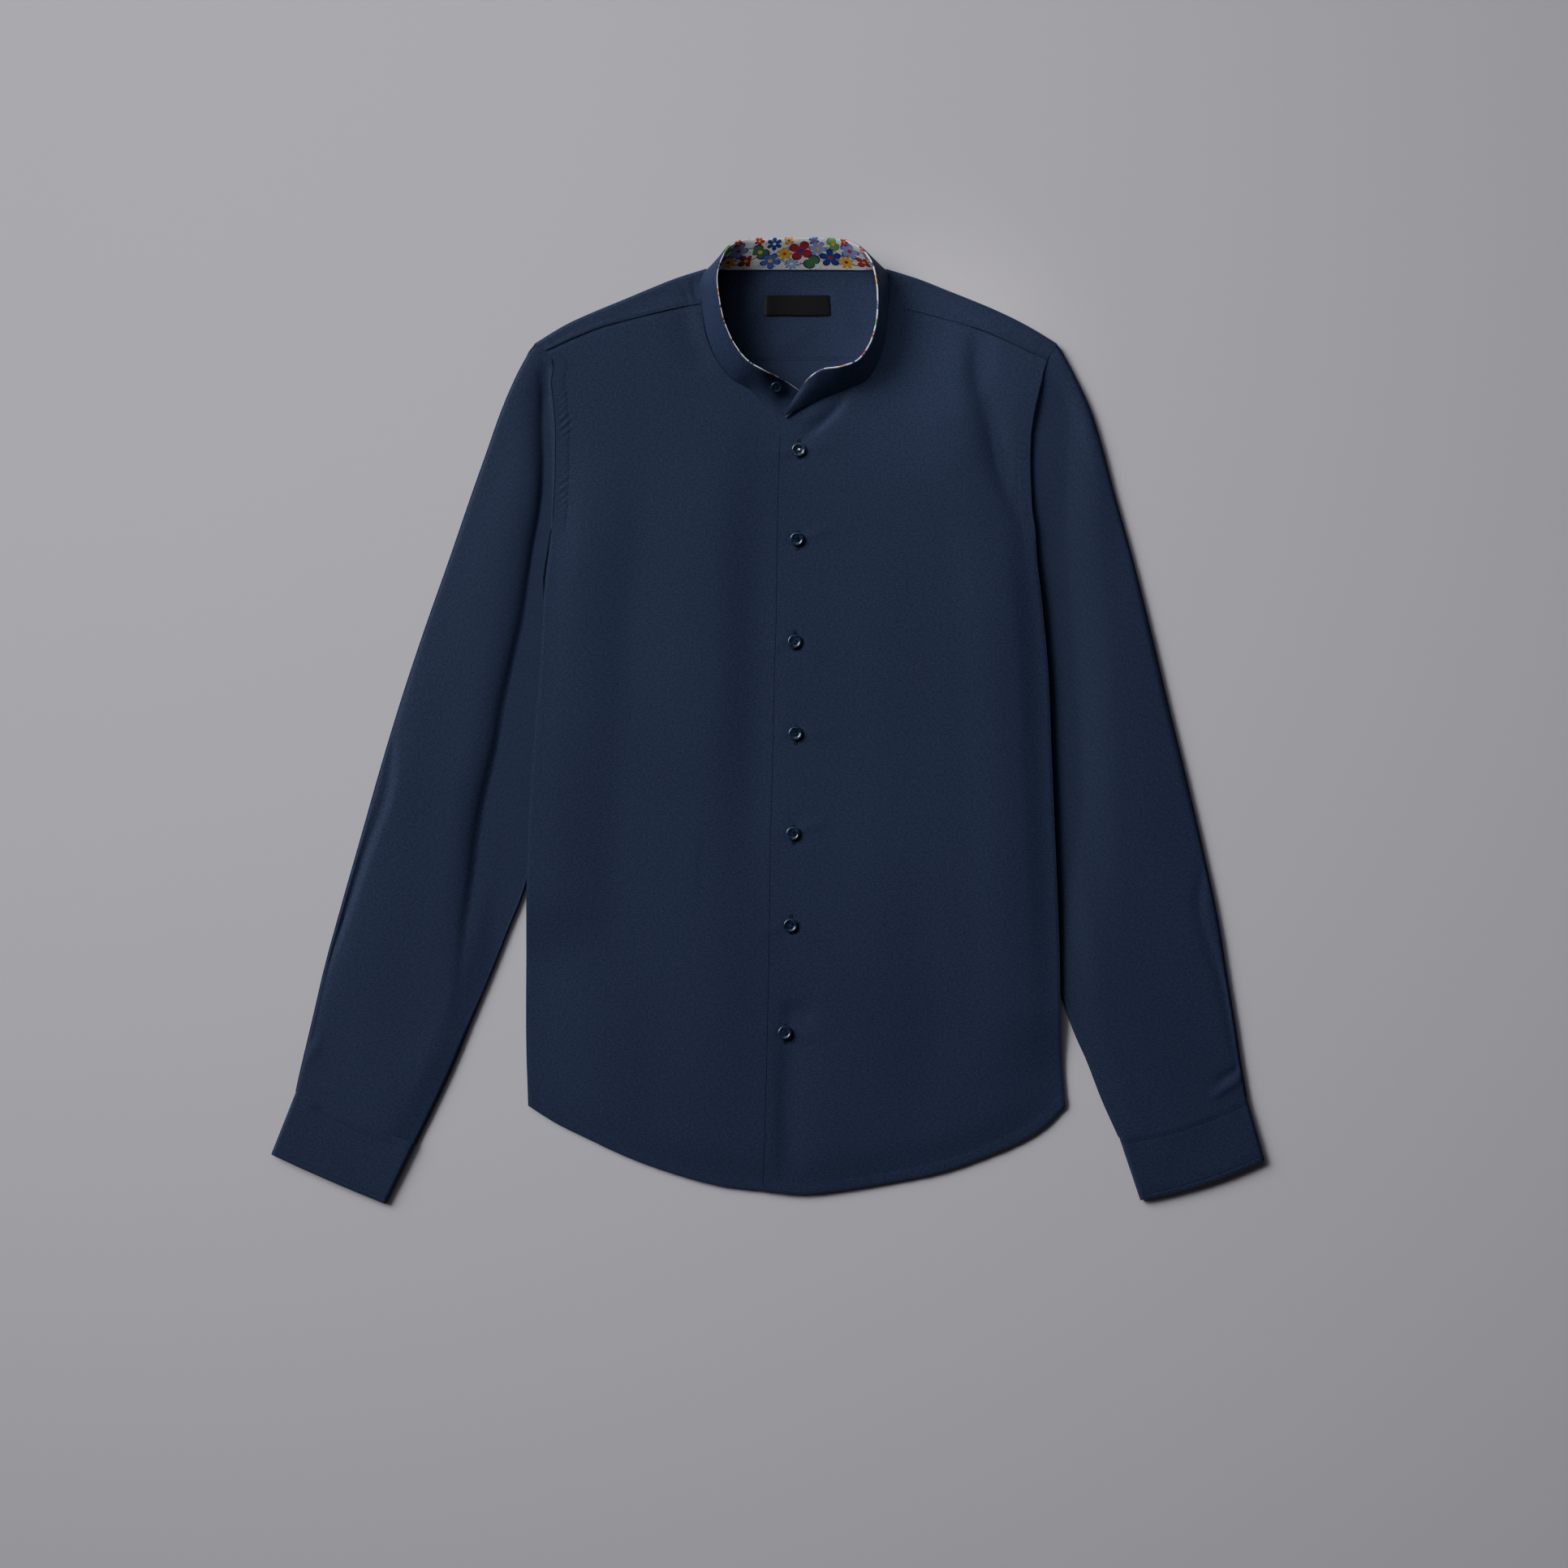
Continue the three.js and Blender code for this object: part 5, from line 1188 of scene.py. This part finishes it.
def make_cuff(side):
    seam_in, seam_out, hand_in, hand_out, bow = (np.array(value, float) for value in CUFFS[side])
    outward = 1 if side == "left" else -1
    length = float(np.linalg.norm(hand_in - seam_in))
    at = np.concatenate([[-1.2, -0.6, 0, 0.7, 1.6, 2.8], np.linspace(4.5, length - 4, 22),
                         [length - 2.6, length - 1.5, length - 0.7, length - 0.2, length]]) / length
    inner, outer = (a + (b - a) * at[:, None] for a, b in ((seam_in, hand_in), (seam_out, hand_out)))
    width = np.linalg.norm(outer - inner, axis=1)
    near = [0, 0.1, 0.4, 0.9, 1.6, 2.5, 3.6, 5, 7]
    places = cross_places(width, near, near, 30)
    share = places / width[:, None]
    down = np.stack([(outer - inner)[:, 1], -(outer - inner)[:, 0]], axis=1) * outward / width[:, None]
    reach = lerp(bow[0], bow[1], at)[:, None] * 4 * share * (1 - share)
    plan = inner[:, None] + (outer - inner)[:, None] * share[..., None] + down[:, None] * reach[..., None]
    from_edge = np.minimum(places, width[:, None] - places)
    half = edge_round(from_edge, CUFF_RADIUS)
    from_seam, from_hand = (at * length)[:, None], ((1 - at) * length)[:, None]
    top = CUFF_RADIUS + np.where(from_edge < CUFF_RADIUS, half, CUFF_RADIUS)
    top = top + 0.15 * (1 - smoothstep(from_seam, 3, 7)) - 0.4 * (1 - smoothstep(from_hand, 0, 2))
    wave = np.sin(share * 17 + 2 * np.sin(share * 7)) * (1 - smoothstep(from_seam, 4, 16))
    top = top + 0.22 * wave + 0.2 * np.sin(share * 5 + from_seam / 13)
    top = top - 0.45 * np.exp(-((from_seam - 5) / 1.0) ** 2) - 0.45 * np.exp(-((from_hand - 5) / 1.0) ** 2)
    bottom = CUFF_RADIUS - np.where(from_edge < CUFF_RADIUS, half, CUFF_RADIUS)
    bottom = bottom + 0.4 * (1 - smoothstep(from_hand, 0, 2))
    upper, lower = np.dstack([plan, top]), np.dstack([plan, bottom])[:, ::-1][:, 1:-1]
    grid = np.concatenate([upper, lower], axis=1)
    over = places - width[:, None] / 2
    uv_upper = np.dstack([over, np.broadcast_to((at * length)[:, None], over.shape)])
    uv = np.concatenate([uv_upper, uv_upper[:, ::-1][:, 1:-1]], axis=1)
    piece = cloth_shell(f"cuff_{side}_cloth", grid, uv, CUFF_WALL, navy_cotton(), around=True,
                        flip=side == "left")
    columns = np.linspace(3, upper.shape[1] - 4, 90)
    lines = [pick(upper, np.full(90, np.interp(place, at, np.arange(len(at)))), columns) + (0, 0, 0.12)
             for place in (5 / length, 1 - 5 / length)]
    stitches = sew(f"cuff_{side}_stitching", lines, thread=0.0005)
    return dress(piece, [f"cuff_{side}"])


# Collar


def collar_frame(rows):
    """Foot, up, inward and height of the band at fractional rows"""
    foot = along([row[:3] for row in COLLAR], rows)
    edge = along([row[3:] for row in COLLAR], rows)
    middle = (foot + edge) / 2
    tangent = np.gradient(middle, axis=0)
    tangent /= np.linalg.norm(tangent, axis=1, keepdims=True)
    height = np.linalg.norm(edge - foot, axis=1)
    up = (edge - foot) / height[:, None]
    inward = np.cross(tangent, up)
    inward /= np.linalg.norm(inward, axis=1, keepdims=True)
    return foot, up, inward, height


def collar_grid(rows, across, share, lift):
    """Points of the band: `across` inward, `share` of the height plus `lift` millimetres up"""
    foot, up, inward, height = collar_frame(rows)
    climb = height[:, None] * np.asarray(share) + np.asarray(lift)
    return (foot[:, None] + inward[:, None] * np.asarray(across)[None, :, None]
            + up[:, None] * climb[..., None])


def make_collar():
    last = len(COLLAR) - 1
    rows = np.linspace(0, last, 420)
    shares = np.concatenate([[0, 0.012, 0.03], np.linspace(0.06, 0.94, 24), [1, 1, 1, 1]])
    across = np.concatenate([-0.5 * np.sin(math.pi * shares[:-4]), [0, 0.08, 0.3, 0.6]])
    lift = np.concatenate([np.zeros(len(shares) - 4), [-0.9, -0.55, -0.32, -0.25]])
    grid = collar_grid(rows, across, shares, lift)
    middle = grid[:, len(shares) // 2]
    round_it = lengths(middle)
    foot, up, inward, height = collar_frame(rows)
    uv = np.dstack([np.broadcast_to(round_it[:, None], grid.shape[:2]), height[:, None] * shares + lift])
    band = cloth_shell("collar_band_cloth", grid, uv, 0.9, navy_cotton())
    lines = []
    for share in (0.10,):
        column = np.interp(share, shares, np.arange(len(shares)))
        lines.append(pick(grid, np.linspace(2, 417, 500), np.full(500, column)) - np.repeat(
            inward, 2, axis=0)[:500] * 0.03)
    column = np.interp(0.88, shares, np.arange(len(shares)))
    lines.append(pick(grid, np.linspace(2, 417, 500), np.full(500, column)))
    stitches = sew("collar_stitching", lines)
    dress(band, ["collar_band"])
    profile = [(2.6, 0.02, 0.0), (2.6, 0.1, 0.0)]
    profile += [(2.6, share, 0.0) for share in np.linspace(0.14, 0.90, 22)]
    profile += [(2.3, 1.0, -1.8), (2.0, 1.0, -0.9), (1.8, 1.0, -0.4), (1.5, 1.0, -0.1), (1.15, 1.0, 0.0),
                (0.85, 1.0, -0.15), (0.68, 1.0, -0.5), (0.65, 1.0, -1.1)]
    across, shares, lift = (np.array(column) for column in zip(*profile))
    grid = collar_grid(rows, across, shares, lift)
    reach = np.concatenate([np.zeros((len(grid), 1)),
                            np.cumsum(np.linalg.norm(np.diff(grid, axis=1), axis=2), axis=1)], axis=1)
    uv = np.dstack([np.broadcast_to(round_it[:, None], grid.shape[:2]), reach])
    lining = cloth_shell("collar_lining_cloth", grid, uv, 0.7, printed_cotton(), flip=True)
    dress(lining, ["collar_lining"])


# Label


def make_label():
    width, depth = LABEL["width"], LABEL["depth"]
    xs, ys = np.linspace(-width / 2, width / 2, 55), np.linspace(-depth / 2, depth / 2, 19)
    x, y = np.meshgrid(xs, ys)
    edge = np.minimum(width / 2 - np.abs(x), depth / 2 - np.abs(y))
    z = 2.2 - 0.45 * (1 - smoothstep(edge, 0, 1.2)) + 0.12 * np.sin(x / 7.0) - 0.25 * (
        1 - smoothstep(width / 2 - np.abs(x), 1.2, 3.2))
    grid = np.dstack([x + LABEL["x"], y + LABEL["y"], z])
    piece = cloth_shell("label_cloth", grid, np.dstack([x, y]), 0.55, label_satin())
    lines = [pick(grid, np.linspace(0.8, 17.2, 20), np.full(20, column)) + (0, 0, 0.03) for column in (1.6, 52.4)]
    stitches = sew("label_stitching", lines)
    dress(piece, ["label"])


# Buttons


def button_mesh(radius, name):
    """A turned button with a raised rim and four holes, its foot at the origin"""
    profile = [
        (0, 0.25), (0.45, 0.2), (0.62, 0.05), (0.80, 0.35), (0.95, 0.85), (1.0, 1.3), (0.99, 1.7),
        (0.95, 2.05), (0.88, 2.3), (0.80, 2.36), (0.72, 2.25), (0.64, 1.95), (0.56, 1.72), (0.4, 1.62),
        (0, 1.6),
    ]
    segments = 56
    bm = bmesh.new()
    rings = []
    for share, height in profile:
        if share == 0:
            rings.append([bm.verts.new((0, 0, height * MM))])
            continue
        rings.append([
            bm.verts.new((radius * share * math.cos(a) * MM, radius * share * math.sin(a) * MM, height * MM))
            for a in (2 * math.pi * k / segments for k in range(segments))
        ])
    for low, high in zip(rings, rings[1:]):
        for k in range(segments):
            n = (k + 1) % segments
            if len(low) == 1:
                bm.faces.new((low[0], high[n], high[k]))
            elif len(high) == 1:
                bm.faces.new((low[k], low[n], high[0]))
            else:
                bm.faces.new((low[k], low[n], high[n], high[k]))
    bmesh.ops.recalc_face_normals(bm, faces=bm.faces)
    mesh = bpy.data.meshes.new(name)
    bm.to_mesh(mesh)
    bm.free()
    body = bpy.data.objects.new(name, mesh)
    bpy.context.scene.collection.objects.link(body)
    cutters = []
    for sx, sy in ((1, 1), (-1, 1), (-1, -1), (1, -1)):
        drill = bmesh.new()
        bmesh.ops.create_cone(drill, cap_ends=True, segments=20, radius1=0.135 * radius * MM,
                              radius2=0.135 * radius * MM, depth=12 * MM,
                              matrix=Matrix.Translation((sx * 0.22 * radius * MM, sy * 0.22 * radius * MM, 0)))
        hole = bpy.data.meshes.new("hole")
        drill.to_mesh(hole)
        drill.free()
        cutter = bpy.data.objects.new("hole", hole)
        bpy.context.scene.collection.objects.link(cutter)
        cut = body.modifiers.new("hole", "BOOLEAN")
        cut.object, cut.operation, cut.solver = cutter, "DIFFERENCE", "EXACT"
        cutters.append(cutter)
    graph = bpy.context.evaluated_depsgraph_get()
    made = bpy.data.meshes.new_from_object(body.evaluated_get(graph))
    for extra in [*cutters, body]:
        bpy.data.objects.remove(extra)
    made.polygons.foreach_set("use_smooth", [True] * len(made.polygons))
    made.set_sharp_from_angle(angle=math.radians(48))
    made.materials.clear()
    made.materials.append(button_resin())
    return made


def thread_lines(radius, turn):
    """Two bars of thread over the button between its holes, each of three strands"""
    place = 0.22 * radius
    lines = []
    for y in (-place, place):
        for strand in (-0.32, 0, 0.32):
            t = np.linspace(-1, 1, 13)
            line = np.column_stack([place * 1.05 * t, np.full(13, y + strand), 1.95 - 1.2 * t**6])
            c, s = math.cos(turn), math.sin(turn)
            lines.append(np.column_stack([c * line[:, 0] - s * line[:, 1], s * line[:, 0] + c * line[:, 1],
                                          line[:, 2]]))
    return lines


def make_buttons():
    threads = []
    for number, (x, y) in enumerate(BUTTON_PLACES):
        mesh = button_mesh(BUTTON_RADIUS, f"button_{number + 1}_resin")
        around = np.linspace(0, 2 * math.pi, 9)[:-1]
        lift = max(float(front_top("left", np.array([x + 5 * math.cos(a)]), np.array([y + 5 * math.sin(a)]))[0])
                   for a in around) + 0.35
        turn = 0.5 * math.sin(number * 2.3)
        lean = (0.05 * math.sin(number * 1.7), 0.04 * math.cos(number * 2.9))
        matrix = (Matrix.Translation((x * MM, y * MM, lift * MM)) @ Matrix.Rotation(lean[0], 4, "X")
                  @ Matrix.Rotation(lean[1], 4, "Y") @ Matrix.Rotation(turn, 4, "Z"))
        place_button(mesh, matrix, f"button_{number + 1}")
        for line in thread_lines(BUTTON_RADIUS, 0):
            threads.append([list((matrix @ Vector(point * MM)) / MM) for point in line])
    foot, up, inward, height = collar_frame(np.array([COLLAR_BUTTON["row"] - 0.1, COLLAR_BUTTON["row"],
                                                      COLLAR_BUTTON["row"] + 0.1]))
    middle = foot[1] + up[1] * height[1] * COLLAR_BUTTON["height"] - inward[1] * 0.6
    matrix = Matrix.Translation(middle * MM) @ Vector(-inward[1]).to_track_quat("Z", "Y").to_matrix().to_4x4()
    place_button(button_mesh(COLLAR_BUTTON["radius"], "button_collar_resin"), matrix, "button_collar")
    for line in thread_lines(COLLAR_BUTTON["radius"], 0):
        threads.append([list((matrix @ Vector(point * MM)) / MM) for point in line])
    sew("button_threads", threads, pitch=0.00035, length=0.0006, thread=0.0004)


def place_button(mesh, matrix, node):
    mesh.transform(matrix)
    piece = bpy.data.objects.new(f"{node}_resin", mesh)
    bpy.context.scene.collection.objects.link(piece)
    dress(piece, [node])


# Stage


def make_stage():
    look = bpy.context.scene.shirt_look
    scene = bpy.context.scene
    material, principled = shader("pale_floor", look.floor_color, 0.85, Specular_IOR_Level=0.2)
    nodes = Nodes(material.node_tree)
    place = nodes.add("ShaderNodeTexCoord").outputs["Object"]
    nodes.link(nodes.bump(nodes.noise(place, 700.0), 0.0002, 0.15), principled.inputs["Normal"])
    mesh = bpy.data.meshes.new("floor")
    size, below = 6.0, -0.0004
    mesh.from_pydata([(-size, -size, below), (size, -size, below), (size, size, below), (-size, size, below)],
                     [], [(0, 1, 2, 3)])
    mesh.materials.append(material)
    floor = bpy.data.objects.new("floor", mesh)
    scene.collection.objects.link(floor)

    distance = 3.4
    width = 1932 * 0.66 * MM
    camera = bpy.data.cameras.new("camera")
    camera.sensor_width = 36
    camera.lens = 36 * distance / width
    camera.clip_end = 50
    view = bpy.data.objects.new("camera", camera)
    view.location = (-0.0106, -0.0436, distance)
    scene.collection.objects.link(view)
    scene.camera = view

    for name, place, aim, size, spread, power in (
        ("key", (-2.30, 1.50, 1.56), (-0.36, 0.28, 0), (2.6, 2.2), 54, look.key_power),
        ("fill", (-0.3, 1.5, 1.6), (0.0, 0.3, 0), (1.4, 1.4), 180, look.fill_power),
        ("shoulder", (0.16, 0.36, 1.80), (0.108, 0.305, 0), (0.10, 0.10), 8, look.shoulder_power),
    ):
        light = bpy.data.lights.new(name, "AREA")
        light.shape, light.energy, light.spread = "RECTANGLE", power, math.radians(spread)
        light.size, light.size_y = size
        lamp = bpy.data.objects.new(name, light)
        lamp.location = place
        lamp.rotation_euler = (Vector(aim) - Vector(place)).to_track_quat("-Z", "Y").to_euler()
        scene.collection.objects.link(lamp)
    world = bpy.data.worlds.new("studio")
    world.use_nodes = True
    background = world.node_tree.nodes["Background"]
    background.inputs["Color"].default_value = (0.95, 0.97, 1.0, 1)
    background.inputs["Strength"].default_value = look.room_light
    scene.world = world


# The add-on's parts


class ShirtLook(PropertyGroup):
    cloth_color: FloatVectorProperty(
        name="Cloth colour", description="Base colour of the navy poplin", subtype="COLOR", size=3,
        min=0, max=1, default=(0.0192, 0.0284, 0.0650))
    cloth_sheen: FloatProperty(
        name="Cloth sheen", description="Strength of the poplin's sheen", subtype="FACTOR",
        min=0, max=1, default=0.05)
    thread_color: FloatVectorProperty(
        name="Thread colour", description="Colour of the sewing thread", subtype="COLOR", size=3,
        min=0, max=1, default=(0.008, 0.013, 0.033))
    thread_width: FloatProperty(
        name="Thread width", description="Thickness of a stitch", subtype="DISTANCE", unit="LENGTH",
        default=0.00042)
    stitch_pitch: FloatProperty(
        name="Stitch pitch", description="Distance from stitch to stitch", subtype="DISTANCE",
        unit="LENGTH", default=0.0026)
    stitch_length: FloatProperty(
        name="Stitch length", description="Length of one stitch", subtype="DISTANCE", unit="LENGTH",
        default=0.0021)
    button_color: FloatVectorProperty(
        name="Button colour", description="Colour of the button resin", subtype="COLOR", size=3,
        min=0, max=1, default=(0.006, 0.012, 0.030))
    floor_color: FloatVectorProperty(
        name="Floor colour", description="Colour of the plain floor", subtype="COLOR", size=3,
        min=0, max=1, default=(0.577, 0.555, 0.612))
    key_power: FloatProperty(
        name="Key light", description="Power of the soft light from the upper left", subtype="POWER",
        unit="POWER", default=24.0)
    fill_power: FloatProperty(
        name="Fill light", description="Power of the wide fill light", subtype="POWER", unit="POWER",
        default=5.0)
    shoulder_power: FloatProperty(
        name="Shoulder light", description="Power of the small light over the shoulder beside the collar",
        subtype="POWER", unit="POWER", default=0.022)
    room_light: FloatProperty(
        name="Room light", description="Strength of the even light from all round", default=0.030)


class SHIRT_OT_stage(Operator):
    """Lay down the floor and set up the camera and the lights"""
    bl_idname = "shirt.stage"
    bl_label = "Stage"

    def execute(self, context):
        make_stage()
        return {"FINISHED"}


class SHIRT_OT_body(Operator):
    """Lay the back, the yoke and both fronts, with their sewing and the dark thread lines painted as shadow along their
    seams
    """
    bl_idname = "shirt.body"
    bl_label = "Body panels"

    def execute(self, context):
        make_yoke()
        make_back()
        make_front("right")
        make_front("left")
        return {"FINISHED"}


class SHIRT_OT_sleeves(Operator):
    """Lay the sleeves and their cuffs"""
    bl_idname = "shirt.sleeves"
    bl_label = "Sleeves and cuffs"

    def execute(self, context):
        for side in ("left", "right"):
            make_sleeve(side)
            make_cuff(side)
        return {"FINISHED"}


class SHIRT_OT_collar(Operator):
    """Stand the band collar with its printed lining, and sew in the bare label"""
    bl_idname = "shirt.collar"
    bl_label = "Collar and label"

    def execute(self, context):
        make_collar()
        make_label()
        return {"FINISHED"}


class SHIRT_OT_buttons(Operator):
    """Sew on the buttons and work the buttonholes"""
    bl_idname = "shirt.buttons"
    bl_label = "Buttons and buttonholes"

    def execute(self, context):
        make_buttons()
        sew("buttonholes", buttonhole_lines(), pitch=0.00045, length=0.0019, thread=0.00052, across=True)
        return {"FINISHED"}


class SHIRT_PT_panel(Panel):
    """Lists the shirt's sizes, colours and pieces"""
    bl_idname = "SHIRT_PT_panel"
    bl_label = "Band-collar shirt"
    bl_space_type = "VIEW_3D"
    bl_region_type = "UI"
    bl_category = "Shirt"

    def draw(self, context):
        look = context.scene.shirt_look
        for name in ShirtLook.__annotations__:
            self.layout.prop(look, name)
        for operator in OPERATORS:
            self.layout.operator(operator.bl_idname)


OPERATORS = (SHIRT_OT_stage, SHIRT_OT_body, SHIRT_OT_sleeves, SHIRT_OT_collar, SHIRT_OT_buttons)


def register():
    for item in (ShirtLook, *OPERATORS, SHIRT_PT_panel):
        bpy.utils.register_class(item)
    bpy.types.Scene.shirt_look = PointerProperty(type=ShirtLook)


def unregister():
    del bpy.types.Scene.shirt_look
    for item in reversed((ShirtLook, *OPERATORS, SHIRT_PT_panel)):
        bpy.utils.unregister_class(item)


def main():
    register()
    bpy.ops.shirt.stage()
    bpy.ops.shirt.body()
    bpy.ops.shirt.sleeves()
    bpy.ops.shirt.collar()
    bpy.ops.shirt.buttons()


if __name__ == "__main__":
    main()
